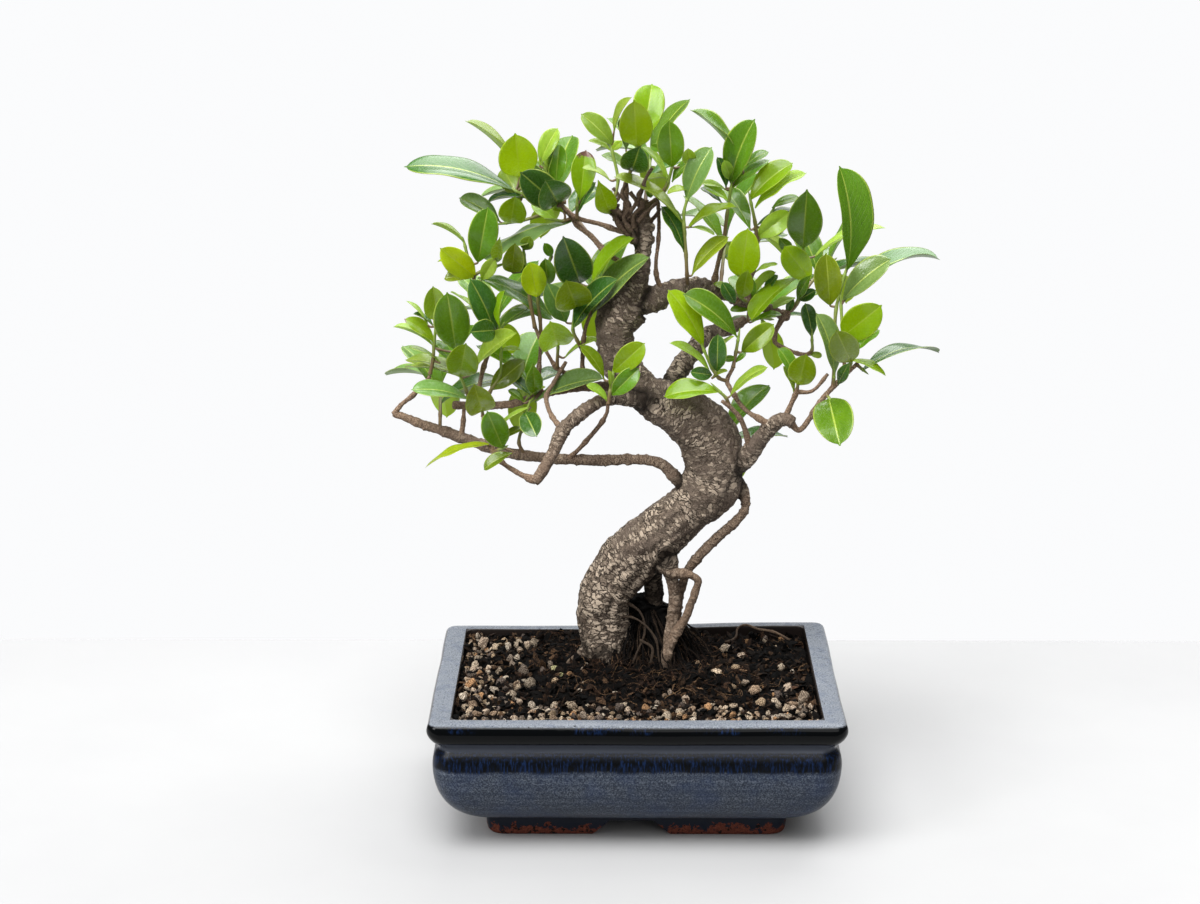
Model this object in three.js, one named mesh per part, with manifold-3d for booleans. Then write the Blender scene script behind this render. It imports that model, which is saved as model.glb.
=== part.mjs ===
// A trained fig tree (bonsai) with an S-shaped trunk, growing in a blue glazed stoneware tray.
// Millimetres, +Z up. The tray's centre is x = y = 0 while the pieces are made, its feet stand at z = 0,
// and the front is -Y. At the end the whole is moved so that the origin is under the middle of its box.
import * as THREE from 'three';
import { mergeVertices } from 'three/addons/utils/BufferGeometryUtils.js';
import Module from 'manifold-3d';

const wasm = await Module();
wasm.setup();
const V = (x, y, z) => new THREE.Vector3(x, y, z);
const { degToRad, lerp } = THREE.MathUtils;

// ---- driving dimensions, mm ----
const GAP = 0.3; // clear space between neighbouring pieces
const POT = {
  rimLong: 232, rimDeep: 177, height: 79, rimRound: 2, rimSwell: 1.5, corner: 13, wall: 12, insideCorner: 6,
  lipLong: 238, lipDeep: 183, lipZ: 72.5, lipSwell: 3,
  neckLong: 225, neckDeep: 170, neckZ: 63,
  bellyLong: 233, bellyDeep: 178, bellyZ: 51, bellyRise: 5, shoulderIn: 0.5,
  footLong: 175, footDeep: 118, footHeight: 14, footCorner: 10, footWall: 13,
  floorTop: 20, floorUnder: 9.5, floorOut: 2, floorCorner: 8, insideStraightZ: 45, cornerSteps: 3,
};
const FOOT_PROFILE = [[4, 0], [1.2, 3], [0, 7], [0, POT.footHeight - 1]]; // [inward, height]
const BELLY_SHARES = [0.9, 0.66, 0.42, 0.2, 0]; // of the quarter ellipse from the widest line down
const ARCH = { height: 9.5, knee: 0.55, kneeOut: 1, topIn: 4, steps: 4 };
const FRONT_ARCH = { below: 48, above: 33 };
const SIDE_ARCH = { below: 30, above: 20 };
const DRAIN = { radius: 8, offset: 52, sides: 12, reach: 30 };
const MESH_PLATE = { side: 26, thickness: 1, hole: 5, pitch: 9, count: 2 };
const SOIL = {
  edgeZ: 74, moundRise: 8, moundRadius: 62, roughness: 1.3, rings: 4, sidePoints: 3, trunkX: -8,
};
const GRAVEL = { leftEnd: -62, frontEdge: -50, rightFrom: 58, rightBefore: -20, strays: 0.03, clear: 45 };
const GRAINS = {
  small: 3.2, large: 5, sunk: 0.3, spacing: 15, jitter: 3, fromWall: 6, tries: 900, seed: 41,
  shape: [1.2, 0.95, 0.8],
};
const LEAF = {
  widthOfLength: 0.48, widest: 0.5, shortest: 15, small: 23, fold: 0.3, bow: 0.09, rootDepth: 0.8,
  petioleWidth: 1.3, petioleThickness: 0.9, petioleReach: 7, petioleFlare: 1.4, edgeGrow: 4,
};
const STEM = { radius: 1.45, tip: 1.3, bud: 1.8, sides: 4 };
const REAR = {
  leaves: 5, turn: 137.5, length: 44, shorter: 3, spread: 0.9, onward: 0.55, firstAt: 0.45, arch: 5,
};
const TRUNK_PLANE_Y = 30; // the trunk stands a little behind the middle of the tray
const WOOD = { trunkSides: 11, limbSides: 6, rootSides: 5, twigSides: 4, thinnest: 5.6 };
const SPANS = { trunk: 1, limb: 0.85, root: 0.6, twig: 0.75, stem: 1 }; // rings for each row of places
const UNEVEN = {
  trunk: 0.035, limb: 0.02, ridges: 3, ridgeTwist: 1.1, folds: 2, foldTwist: 1.7, foldShare: 0.7,
};
const BEND_STEPS = [0, -5, 5, -10, 10, -15, 15, -21, 21, -27, 27]; // depth given to a blade to clear others
const CLEAR_ENOUGH = 0.05; // mm3 of crossing that counts as none
const WORTH_BENDING = 0.3; // mm3 less crossing that a further bend has to bring
const ROOT_OVERLAP = 12; // mm3 that two leaves of one shoot may share at their roots
const OWN_WEIGHT = 0.3; // how much a shoot's own leaves count against other shoots

// ---- the eye that the tree was measured from: places are given as [column, row] of a view
//      1200 x 904 across and the depth behind the trunk plane in mm ----
const VIEW = { focal: 2540, column: 600, row: 452, pitch: 14.4, yaw: -0.3, eye: V(-14, -1431, 582) };
const pitch = degToRad(VIEW.pitch);
const yaw = degToRad(VIEW.yaw);
const AHEAD = V(Math.sin(yaw) * Math.cos(pitch), Math.cos(yaw) * Math.cos(pitch), -Math.sin(pitch));
const RIGHT = V(Math.cos(yaw), -Math.sin(yaw), 0);
const UPWARD = V(Math.sin(yaw) * Math.sin(pitch), Math.cos(yaw) * Math.sin(pitch), Math.cos(pitch));
const PIXEL = 0.58; // mm across one pixel in the trunk plane

// The point seen at a column and row, at a depth behind the trunk plane.
function seen([column, row], behind = 0) {
  const ray = AHEAD.clone()
    .addScaledVector(RIGHT, (column - VIEW.column) / VIEW.focal)
    .addScaledVector(UPWARD, (VIEW.row - row) / VIEW.focal);
  const reach = (TRUNK_PLANE_Y + behind - VIEW.eye.y) / ray.y;
  return VIEW.eye.clone().addScaledVector(ray, reach);
}


// ---- the wood, as rows of [column, row, behind, diameter seen in pixels] ----
const TRUNK = [
  [607, 690, 2, 62], [606, 668, 1, 58], [606, 645, 0, 51], [603, 614, 0, 54], [610, 585, 0, 54],
  [634, 556, 0, 60], [663, 530, 0, 56], [689, 508, 0, 51], [706, 490, 0, 55], [715, 465, 0, 58],
  [707, 438, 0, 59], [688, 416, 0, 57], [666, 402, 0, 50], [645, 391, 0, 40], [629, 376, 0, 38],
  [616, 356, 0, 36], [615, 328, 0, 39], [625, 307, 0, 38],
  [636, 288, 0, 27], [641, 268, 0, 18], [643, 248, 0, 17], [645, 230, 0, 16], [643, 215, 0, 14],
  [645, 199, 0, 8],
];
const LIMBS = [
  [[672, 384, 2, 22], [683, 364, 12, 20], [694, 350, 20, 19], [704, 337, 30, 17], [717, 331, 38, 15],
    [732, 328, 45, 13], [746, 318, 52, 10]],
  [[628, 306, 0, 28], [655, 299, 3, 25], [672, 290, 5, 20], [690, 286, 8, 17], [708, 288, 12, 16],
    [728, 295, 18, 14], [750, 303, 24, 12], [770, 309, 30, 11], [790, 319, 34, 9]],
  [[725, 473, -3, 28], [738, 464, -5, 24], [750, 453, -10, 20], [762, 437, -15, 17], [773, 425, -18, 16],
    [784, 419, -20, 14], [795, 423, -22, 13]],
  [[694, 492, 0, 16], [682, 484, 0, 14], [664, 466, 0, 12], [647, 460, 0, 11], [600, 460, 0, 11],
    [550, 458, 2, 11], [510, 453, 5, 11], [463, 438, 9, 12], [430, 427, 12, 10], [393, 413, 15, 8]],
  [[658, 398, -3, 28], [640, 397, -6, 24], [622, 397, -9, 18], [605, 399, -12, 14], [590, 407, -16, 14],
    [573, 420, -20, 14], [562, 432, -24, 14], [556, 445, -28, 13], [544, 469, -32, 11], [534, 483, -34, 11]],
  [[628, 384, 8, 14], [612, 386, 12, 12], [590, 387, 16, 9], [565, 390, 18, 8], [540, 395, 20, 8],
    [515, 403, 20, 8], [490, 406, 20, 9], [450, 405, 20, 9]],
  [[642, 246, 0, 13], [636, 238, 0, 12], [622, 222, 0, 12], [610, 205, 0, 10], [606, 195, 0, 7]],
  [[641, 246, 0, 12], [640, 235, 0, 12], [628, 215, 0, 9], [626, 200, 0, 7], [626, 179, 0, 5]],
];
const ROOTS = [
  [[732, 482, 0, 17], [742, 495, -3, 12], [744, 506, -3, 10], [737, 519, -4, 11], [718, 537, -4, 11],
    [699, 556, -4, 11], [686, 574, -3, 10], [677, 612, 2, 9], [672, 645, 4, 10], [670, 680, 6, 10]],
  [[655, 560, -8, 18], [672, 572, -14, 12], [688, 574, -16, 9], [698, 580, -16, 8], [695, 592, -16, 8],
    [687, 614, -18, 9], [677, 632, -20, 10], [668, 650, -22, 11], [664, 690, -23, 10]],
  [[660, 545, -2, 26], [667, 560, -8, 21], [672, 578, -10, 14], [674, 600, -12, 12], [672, 620, -14, 12],
    [668, 642, -16, 11], [664, 680, -18, 10]],
  [[650, 560, 2, 22], [654, 595, 6, 20], [650, 630, 8, 22], [648, 680, 8, 22]],
  [[612, 620, -8, 14], [630, 618, -12, 8], [645, 628, -16, 6], [656, 640, -20, 6], [664, 680, -26, 5]],
  [[622, 600, -8, 12], [640, 610, -10, 7], [642, 640, -14, 6], [632, 664, -22, 6], [622, 695, -30, 6]],
  [[596, 640, -4, 22], [582, 656, -8, 14], [566, 668, -14, 9], [556, 686, -16, 6]],
  [[600, 640, 6, 22], [586, 648, 20, 14], [573, 652, 30, 10], [563, 662, 38, 6]],
  [[616, 640, 6, 22], [630, 648, 22, 13], [646, 650, 32, 9], [656, 662, 38, 6]],
  [[604, 650, -8, 22], [606, 672, -20, 13], [600, 692, -34, 9], [596, 708, -40, 6]],
  [[660, 658, 2, 12], [690, 653, 15, 7], [715, 649, 23, 5], [738, 643, 32, 5],
    [768, 644, 33, 4], [788, 650, 24, 4]],
];
const TWIGS = [
  [[631, 232, 0, 8], [620, 231, 1, 6], [600, 224, 2, 5], [577, 218, 3, 5], [567, 211, 4, 5],
    [560, 203, 4, 4]],
  [[641, 272, 0, 8], [622, 263, 2, 6], [604, 250, 4, 6], [590, 235, 6, 6], [578, 226, 6, 5], [570, 215, 6, 5],
    [562, 207, 5, 4]],
  [[643, 216, 0, 7], [650, 204, 1, 5], [657, 199, 2, 5], [664, 195, 3, 4]],
  [[664, 294, 4, 8], [657, 278, 2, 5], [656, 262, 1, 4], [658, 245, 1, 4], [659, 225, 2, 4],
    [658, 203, 2, 3]],
  [[713, 290, 13, 8], [717, 268, 12, 5], [720, 255, 12, 5], [724, 240, 12, 5], [725, 232, 12, 4]],
  [[747, 303, 23, 8], [750, 282, 19, 5], [755, 262, 15, 5], [757, 242, 12, 4]],
  [[784, 316, 33, 8], [776, 331, 35, 5], [775, 342, 37, 5], [786, 349, 38, 5], [800, 354, 40, 4],
    [811, 354, 40, 4]],
  [[780, 315, 33, 8], [790, 310, 32, 5], [797, 303, 31, 5], [803, 290, 30, 4]],
  [[788, 420, -20, 9], [799, 430, -20, 6], [810, 418, -18, 6], [820, 402, -16, 6], [832, 388, -14, 5],
    [845, 375, -12, 5], [858, 363, -10, 4]],
  [[784, 420, -19, 8], [792, 402, -17, 5], [796, 393, -16, 5], [797, 388, -16, 4]],
  [[772, 426, -18, 9], [758, 418, -18, 6], [748, 412, -17, 5], [740, 404, -16, 5], [735, 396, -13, 5],
    [730, 388, -11, 5], [727, 381, -9, 5], [733, 368, -8, 4]],
  [[751, 450, -10, 9], [741, 420, -16, 5], [731, 408, -18, 5], [722, 401, -20, 4]],
  [[394, 414, 15, 7], [402, 404, 14, 5], [411, 397, 14, 5], [425, 383, 12, 4], [430, 376, 11, 4]],
  [[461, 437, 9, 8], [463, 424, 9, 5], [464, 409, 10, 4]],
  [[536, 481, -34, 8], [520, 474, -32, 6], [503, 463, -28, 5], [493, 452, -25, 5], [487, 438, -20, 5],
    [484, 425, -15, 4], [483, 415, -11, 4]],
  [[566, 460, 1, 8], [576, 452, -2, 5], [588, 439, -5, 5], [602, 422, -13, 5], [607, 412, -19, 4],
    [608, 404, -21, 4]],
  [[563, 430, -24, 8], [553, 418, -18, 5], [547, 404, -8, 5], [547, 394, 2, 5], [553, 384, 8, 5],
    [560, 372, 12, 4], [566, 362, 11, 4]],
  [[590, 388, 16, 8], [575, 378, 15, 5], [557, 368, 13, 5], [550, 358, 12, 4], [543, 345, 11, 4],
    [535, 327, 8, 4]],
  [[541, 395, 20, 7], [539, 372, 17, 5], [540, 355, 15, 4], [541, 336, 12, 4]],
  [[589, 387, 16, 8], [583, 372, 14, 5], [583, 350, 11, 5], [585, 330, 8, 4], [590, 315, 6, 4]],
  [[478, 406, 20, 7], [479, 390, 18, 5], [484, 366, 15, 5], [492, 346, 13, 4], [497, 333, 12, 4],
    [488, 310, 10, 4], [479, 288, 8, 4]],
  [[795, 392, -16, 6], [812, 391, -15, 4], [828, 374, -15, 3]],
];

// ---- leafy shoots: stems as [column, row, behind]; each leaf as [base column, base row, tip column,
//      tip row, width seen, lean (-1 tip towards the front, 1 away), side seen (1 upper, -1 under),
//      a point that an arched midrib passes] ----
const SHOOTS = [
  { name: 'top_left_tip', stems: [[[566, 202, 4], [548, 202, 5], [530, 197, 6], [516, 191, 8]]], leaves: [
    [513, 190, 404, 167, 22], [520, 177, 515, 133, 39], [522, 180, 465, 121, 3, 1],
    [556, 203, 520, 172, 34], [558, 203, 545, 180, 36], [520, 200, 503, 168, 22, 1],
  ] },
  { name: 'top_left_upright', stems: [[[563, 203, 3], [553, 186, 0], [545, 168, -3]]], leaves: [
    [540, 165, 558, 128, 18], [556, 184, 560, 144, 19],
  ] },
  { name: 'top_left_fork', stems: [[[577, 219, 2], [577, 205, 0]]], leaves: [
    [580, 200, 586, 150, 25], [577, 215, 596, 182, 12],
  ] },
  { name: 'top_left_inner', stems: [
    [[560, 205, 4], [540, 215, 6], [520, 221, 8], [506, 223, 9]],
  ], leaves: [
    [511, 223, 515, 196, 28], [500, 222, 459, 198, 18, 1],
  ] },
  { name: 'top_left_under', stems: [[[572, 218, 6], [563, 221, 3], [556, 220, 1]]], leaves: [
    [556, 220, 533, 200, 16], [572, 221, 481, 259, 14, -1, -1],
  ] },
  { name: 'crown_left', stems: [
    [[611, 207, 0], [613, 205, -7], [616, 192, -7], [618, 180, -6], [612, 150, -6]],
  ], leaves: [
    [613, 145, 581, 114, 20], [610, 214, 598, 180, 22], [614, 131, 632, 97, 8],
  ] },
  { name: 'crown_middle', stems: [[[626, 181, 0], [631, 170, -1], [636, 150, -3]]], leaves: [
    [632, 172, 601, 155, 10], [637, 146, 634, 100, 33], [643, 140, 652, 84, 32, 1],
    [626, 150, 620, 118, 12], [632, 171, 640, 146, 29],
  ] },
  { name: 'crown_right', stems: [[[657, 200, 2], [664, 190, 2], [668, 182, 1], [672, 168, 0]]], leaves: [
    [672, 167, 669, 120, 27], [672, 182, 692, 160, 10],
  ] },
  { name: 'upright_right', stems: [
    [[688, 287, 6], [687, 275, -2], [686, 255, -4], [684, 225, -5], [684, 212, -5], [687, 200, -5]],
  ], leaves: [
    [687, 200, 712, 147, 24], [682, 222, 614, 177, 10], [684, 252, 661, 206, 17],
    [688, 228, 737, 207, 9], [692, 275, 729, 237, 16],
  ] },
  { name: 'inner_right', stems: [
    [[727, 381, -9], [719, 378, -11], [712, 368, -12], [704, 350, -13]],
  ], leaves: [
    [703, 346, 668, 290, 26], [710, 372, 669, 343, 8], [717, 371, 718, 334, 19],
  ] },
  { name: 'inner_right_upper', stems: [[[733, 368, -8], [736, 352, -6], [738, 340, -5]]], leaves: [
    [737, 337, 683, 294, 24], [742, 352, 774, 324, 22], [742, 352, 772, 330, 10],
  ] },
  { name: 'before_trunk', stems: [[[730, 407, -17], [726, 398, -19], [720, 392, -20]]], leaves: [
    [720, 392, 664, 397, 19], [730, 396, 768, 367, 10],
  ] },
  { name: 'top_right', stems: [[[724, 240, 12], [727, 215, 10], [731, 188, 8]]], leaves: [
    [743, 170, 690, 110, 9], [731, 184, 755, 119, 28], [731, 189, 770, 160, 12],
    [726, 187, 717, 157, 12], [728, 200, 703, 186, 10],
  ] },
  { name: 'upper_right', stems: [[[757, 241, 12], [755, 222, 8], [751, 203, 4]]], leaves: [
    [750, 200, 793, 163, 22], [755, 208, 807, 173, 14], [750, 229, 724, 189, 20],
  ] },
  { name: 'upper_right_fork', stems: [[[757, 243, 12], [763, 230, 14], [772, 212, 16]]], leaves: [
    [757, 225, 800, 212, 9], [758, 237, 790, 212, 22],
  ] },
  { name: 'mid_right', stems: [[[750, 284, 19], [744, 280, 11], [741, 277, 7]]], leaves: [
    [741, 278, 748, 228, 33],
  ] },
  { name: 'far_right_top', stems: [[[803, 290, 30], [805, 272, 28], [804, 250, 26]]], leaves: [
    [803, 248, 807, 189, 36], [797, 275, 750, 229, 9], [810, 280, 784, 246, 28],
    [815, 256, 886, 228, 9, 1],
  ] },
  { name: 'right_tall', stems: [
    [[833, 388, -14], [835, 350, -10], [836, 310, -6], [845, 274, -4]],
  ], leaves: [
    [847, 270, 839, 166, 34], [830, 305, 826, 253, 28],
  ] },
  { name: 'right_reach', stems: [[[845, 376, -13], [843, 340, -9], [841, 305, -6]]], leaves: [
    [843, 300, 891, 259, 26], [845, 300, 940, 260, 12, -1, 1, [895, 262]], [842, 337, 882, 305, 34],
  ] },
  { name: 'right_low', stems: [[[834, 387, -14], [834, 377, -16]]], leaves: [
    [834, 376, 816, 313, 21], [838, 385, 850, 362, 12],
  ] },
  { name: 'right_fork', stems: [[[848, 373, -12], [851, 363, -12]]], leaves: [
    [851, 362, 836, 330, 30], [850, 360, 886, 376, 8], [855, 352, 880, 330, 12],
  ] },
  { name: 'right_end', stems: [[[856, 364, -10], [862, 369, -10]]], leaves: [
    [862, 371, 939, 353, 11, -1, 1, [903, 349]],
  ] },
  { name: 'right_hanging', stems: [[[826, 394, -15], [829, 398, -18]]], leaves: [
    [829, 399, 840, 446, 40],
  ] },
  { name: 'right_under', stems: [[[797, 392, -16], [798, 383, -17]]], leaves: [
    [796, 382, 778, 348, 14], [799, 385, 806, 354, 28],
  ] },
  { name: 'right_inner', stems: [[[808, 354, 40], [812, 350, 38], [812, 340, 36]]], leaves: [
    [812, 338, 805, 303, 16],
  ] },
  { name: 'right_fan', stems: [[[793, 308, 32], [797, 303, 29], [800, 290, 27]]], leaves: [
    [799, 277, 751, 321, 17], [797, 300, 811, 275, 12],
  ] },
  { name: 'mid_right_fan', stems: [[[750, 303, 24], [745, 301, 15], [741, 298, 9]]], leaves: [
    [735, 303, 722, 282, 14], [742, 298, 748, 270, 18],
  ] },
  { name: 'mid_left_top', stems: [[[590, 316, 6], [592, 300, 4], [592, 288, 2]]], leaves: [
    [580, 283, 563, 236, 38], [592, 284, 634, 238, 16], [590, 317, 650, 257, 24],
  ] },
  { name: 'mid_left_fork', stems: [
    [[583, 352, 11], [577, 340, 8], [573, 330, 6], [575, 312, 4]],
  ], leaves: [
    [576, 307, 566, 280, 38], [572, 330, 618, 279, 22], [566, 322, 547, 283, 24],
  ] },
  { name: 'mid_left_low', stems: [[[557, 367, 12], [558, 347, 8]]], leaves: [
    [558, 345, 550, 321, 36],
  ] },
  { name: 'left_upright', stems: [
    [[541, 336, 12], [540, 318, 10], [538, 300, 8], [544, 280, 6], [549, 262, 5]],
  ], leaves: [
    [537, 297, 530, 262, 26], [548, 285, 545, 258, 18],
  ] },
  { name: 'left_upright_fork', stems: [
    [[535, 328, 8], [530, 300, 6], [526, 270, 4], [524, 254, 3]],
  ], leaves: [
    [512, 272, 515, 243, 22],
  ] },
  { name: 'left_top', stems: [
    [[479, 290, 8], [474, 277, 6], [484, 270, 4], [497, 266, 4]],
    [[474, 277, 6], [468, 258, 6], [465, 246, 6]],
  ], leaves: [
    [478, 262, 488, 207, 30], [475, 277, 440, 248, 26], [470, 277, 444, 279, 11],
    [478, 278, 553, 319, 20], [482, 280, 495, 258, 15], [497, 262, 500, 237, 12],
  ] },
  { name: 'left_middle', stems: [[[497, 335, 12], [500, 331, 6], [502, 327, 2]]], leaves: [
    [495, 334, 470, 279, 27], [493, 332, 450, 292, 8], [496, 330, 470, 332, 24],
    [497, 333, 535, 306, 10], [500, 328, 505, 290, 8],
  ] },
  { name: 'far_left', stems: [[[430, 374, 11], [433, 360, 10], [434, 345, 9], [436, 325, 8]]], leaves: [
    [437, 320, 433, 286, 24], [456, 350, 447, 292, 37], [435, 343, 404, 319, 14],
  ] },
  { name: 'left_low', stems: [[[470, 403, 19], [466, 390, 16], [461, 378, 13]]], leaves: [
    [460, 376, 466, 343, 33], [460, 375, 405, 360, 12], [463, 378, 405, 368, 10],
    [472, 373, 517, 333, 14], [452, 362, 431, 341, 12],
  ] },
  { name: 'left_low_spur', stems: [[[464, 409, 10], [468, 403, 8]]], leaves: [
    [470, 400, 411, 390, 16],
  ] },
  { name: 'left_front_spur', stems: [[[483, 416, -11], [482, 410, -13]]], leaves: [
    [482, 411, 474, 384, 30],
  ] },
  { name: 'left_inner', stems: [
    [[487, 404, 19], [490, 392, 16], [500, 375, 14], [501, 355, 12]],
  ], leaves: [
    [490, 390, 525, 360, 22],
  ] },
  { name: 'left_front', stems: [[[493, 452, -25], [499, 450, -30], [503, 448, -35]]], leaves: [
    [503, 448, 487, 411, 27], [489, 444, 425, 468, 8], [512, 453, 484, 470, 12],
  ] },
  { name: 'left_hanging', stems: [
    [[525, 455, 3], [519, 443, 0], [522, 428, -2], [527, 411, -4]],
  ], leaves: [
    [530, 407, 491, 437, 5], [525, 412, 537, 437, 23],
  ] },
  { name: 'left_limb_fan', stems: [[[536, 396, 19], [533, 399, 14]]], leaves: [
    [530, 395, 505, 375, 12], [535, 395, 533, 363, 18], [535, 402, 604, 379, 18],
  ] },
  { name: 'inner_left', stems: [[[608, 404, -21], [610, 392, -21], [613, 374, -19]]], leaves: [
    [604, 379, 580, 346, 12], [613, 372, 645, 343, 24], [612, 395, 639, 368, 20],
  ] },];
// Shoots on the far side, as [root column, root row, root behind, reach to the right, reach up, reach back].
const REAR_SHOOTS = {
  rear_top: [645, 205, 0, 4, 22, 46], rear_top_left: [590, 236, 5, -26, 18, 44],
  rear_left: [486, 352, 14, 6, 14, 40], rear_left_low: [545, 394, 20, -18, -4, 46],
  rear_far_left: [440, 430, 11, -2, 20, 44], rear_middle: [616, 326, 0, -14, 8, 58],
  rear_right: [720, 292, 15, 6, 30, 50], rear_right_low: [735, 327, 45, 24, -4, 44],
  rear_far_right: [797, 303, 31, 24, 18, 40], rear_low: [716, 462, 0, 10, 2, 58],
};

// ---- closed bodies ----

// A closed body from points and triangles, with its faces turned outwards.
function body(points, faces) {
  const volume = faces.reduce((sum, [a, b, c]) =>
    sum + points[a].dot(new THREE.Vector3().crossVectors(points[b], points[c])), 0);
  const outward = volume < 0 ? faces.map(([a, b, c]) => [a, c, b]) : faces;
  return new wasm.Manifold(new wasm.Mesh({
    numProp: 3,
    vertProperties: new Float32Array(points.flatMap((p) => [p.x, p.y, p.z])),
    triVerts: new Uint32Array(outward.flat()),
  }));
}

// A closed body from one of the library's geometries.
function bodyOf(geometry) {
  const bare = new THREE.BufferGeometry();
  bare.setAttribute('position', geometry.attributes.position);
  if (geometry.index) bare.setIndex(geometry.index);
  const merged = mergeVertices(bare, 1e-4);
  return new wasm.Manifold(new wasm.Mesh({
    numProp: 3,
    vertProperties: new Float32Array(merged.attributes.position.array),
    triVerts: new Uint32Array(merged.index.array),
  }));
}

// A skin over equal rings of points. A ring of one point is a tip; an end ring of more is closed flat.
function loft(rings) {
  const points = rings.flat();
  const faces = [];
  let start = 0;
  rings.slice(1).forEach((ring, i) => {
    const low = rings[i].length;
    const high = ring.length;
    const next = start + low;
    const sides = Math.max(low, high);
    for (let j = 0; j < sides; j += 1) {
      const k = (j + 1) % sides;
      if (low > 1) faces.push([start + j, start + k, next + (high > 1 ? k : 0)]);
      if (high > 1) faces.push([start + (low > 1 ? j : 0), next + k, next + j]);
    }
    start = next;
  });
  const fan = (from, count, flip) => {
    for (let j = 1; j < count - 1; j += 1) {
      faces.push(flip ? [from, from + j + 1, from + j] : [from, from + j, from + j + 1]);
    }
  };
  fan(0, rings[0].length, true);
  fan(start, rings[rings.length - 1].length, false);
  return body(points, faces);
}

// The largest body of a solid that a cut may have left in several.
function largest(whole) {
  const pieces = whole.decompose();
  return pieces.reduce((best, piece) => (piece.volume() > best.volume() ? piece : best));
}

// All of the bodies as one, without any loose scrap.
function fuse(bodies) {
  return largest(wasm.Manifold.union(bodies));
}

function boxesMeet(first, second) {
  const a = first.boundingBox();
  const b = second.boundingBox();
  return [0, 1, 2].every((i) => a.min[i] <= b.max[i] && b.min[i] <= a.max[i]);
}

// A source of repeatable numbers from 0 to 1 (the Lehmer generator).
function seeded(seed) {
  let state = seed;
  return () => {
    state = (state * 16807) % 2147483647;
    return state / 2147483647;
  };
}

// ---- round, tapering, curving bodies: trunk, limbs, twigs, roots and stems ----

// How far bark stands out at an angle round a stem and a place along it, as a share of the radius.
function lump(uneven, angle, place) {
  const ridge = Math.sin(UNEVEN.ridges * angle + place * UNEVEN.ridgeTwist);
  const fold = Math.sin(UNEVEN.folds * angle - place * UNEVEN.foldTwist);
  return 1 + uneven * (ridge + UNEVEN.foldShare * fold);
}

// Rings along a smooth curve through the stations { point, radius }; grow swells it by that much.
function taperedTube(stations, sides, spans, grow = 0, uneven = 0) {
  const curve = new THREE.CatmullRomCurve3(stations.map((s) => s.point), false, 'centripetal');
  const steps = Math.round((stations.length - 1) * spans);
  let across = null;
  const rings = [];
  for (let i = 0; i <= steps; i += 1) {
    const along = curve.getTangent(i / steps);
    const start = across || (Math.abs(along.z) > 0.9 ? V(1, 0, 0) : V(0, 0, 1));
    across = start.clone().addScaledVector(along, -start.dot(along)).normalize();
    const second = new THREE.Vector3().crossVectors(along, across);
    const place = (i / steps) * (stations.length - 1);
    const from = Math.min(Math.floor(place), stations.length - 2);
    const radius = lerp(stations[from].radius, stations[from + 1].radius, place - from);
    const centre = curve.getPoint(i / steps);
    const ring = [];
    for (let j = 0; j < sides; j += 1) {
      const angle = (j / sides) * Math.PI * 2;
      const out = across.clone().multiplyScalar(Math.cos(angle)).addScaledVector(second, Math.sin(angle));
      ring.push(centre.clone().addScaledVector(out, radius * lump(uneven, angle, place) + grow));
    }
    rings.push(ring);
  }
  return loft(rings);
}

function woodStations(rows) {
  return rows.map(([column, row, behind, diameter]) => ({
    point: seen([column, row], behind), radius: (Math.max(diameter, WOOD.thinnest) * PIXEL) / 2,
  }));
}

// The wood is one grown body: trunk, limbs, aerial and surface roots, and bare twigs.
function wood(grow = 0) {
  const tube = (rows, sides, spans, uneven) =>
    taperedTube(woodStations(rows), sides, spans, grow, uneven);
  return fuse([
    tube(TRUNK, WOOD.trunkSides, SPANS.trunk, UNEVEN.trunk),
    ...LIMBS.map((rows) => tube(rows, WOOD.limbSides, SPANS.limb, UNEVEN.limb)),
    ...ROOTS.map((rows) => tube(rows, WOOD.rootSides, SPANS.root, 0)),
    ...TWIGS.map((rows) => tube(rows, WOOD.twigSides, SPANS.twig, 0)),
  ]);
}

// ---- the tray ----

// A rounded rectangle at height z, with some points more along each straight side.
function roundedRing(long, deep, corner, z, sidePoints = 0) {
  const corners = [[1, 1], [-1, 1], [-1, -1], [1, -1]];
  const arcPoint = (quarter, i) => {
    const [sx, sy] = corners[quarter % 4];
    const angle = ((quarter + i / POT.cornerSteps) * Math.PI) / 2;
    return V(sx * (long / 2 - corner) + corner * Math.cos(angle),
      sy * (deep / 2 - corner) + corner * Math.sin(angle), z);
  };
  const ring = [];
  corners.forEach((_, quarter) => {
    for (let i = 0; i <= POT.cornerSteps; i += 1) ring.push(arcPoint(quarter, i));
    const from = arcPoint(quarter, POT.cornerSteps);
    const to = arcPoint(quarter + 1, 0);
    for (let i = 1; i <= sidePoints; i += 1) ring.push(from.clone().lerp(to, i / (sidePoints + 1)));
  });
  return ring;
}

// The belly's section below its widest line is a quarter of an ellipse.
function bellyRing(share) {
  const inward = 1 - Math.cos((share * Math.PI) / 2);
  const drop = Math.sin((share * Math.PI) / 2);
  const narrowing = (POT.bellyLong - POT.footLong - 2 * POT.floorOut) * inward;
  return roundedRing(POT.bellyLong - narrowing, POT.bellyDeep - narrowing, POT.corner,
    POT.bellyZ - (POT.bellyZ - POT.footHeight) * drop);
}

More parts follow.
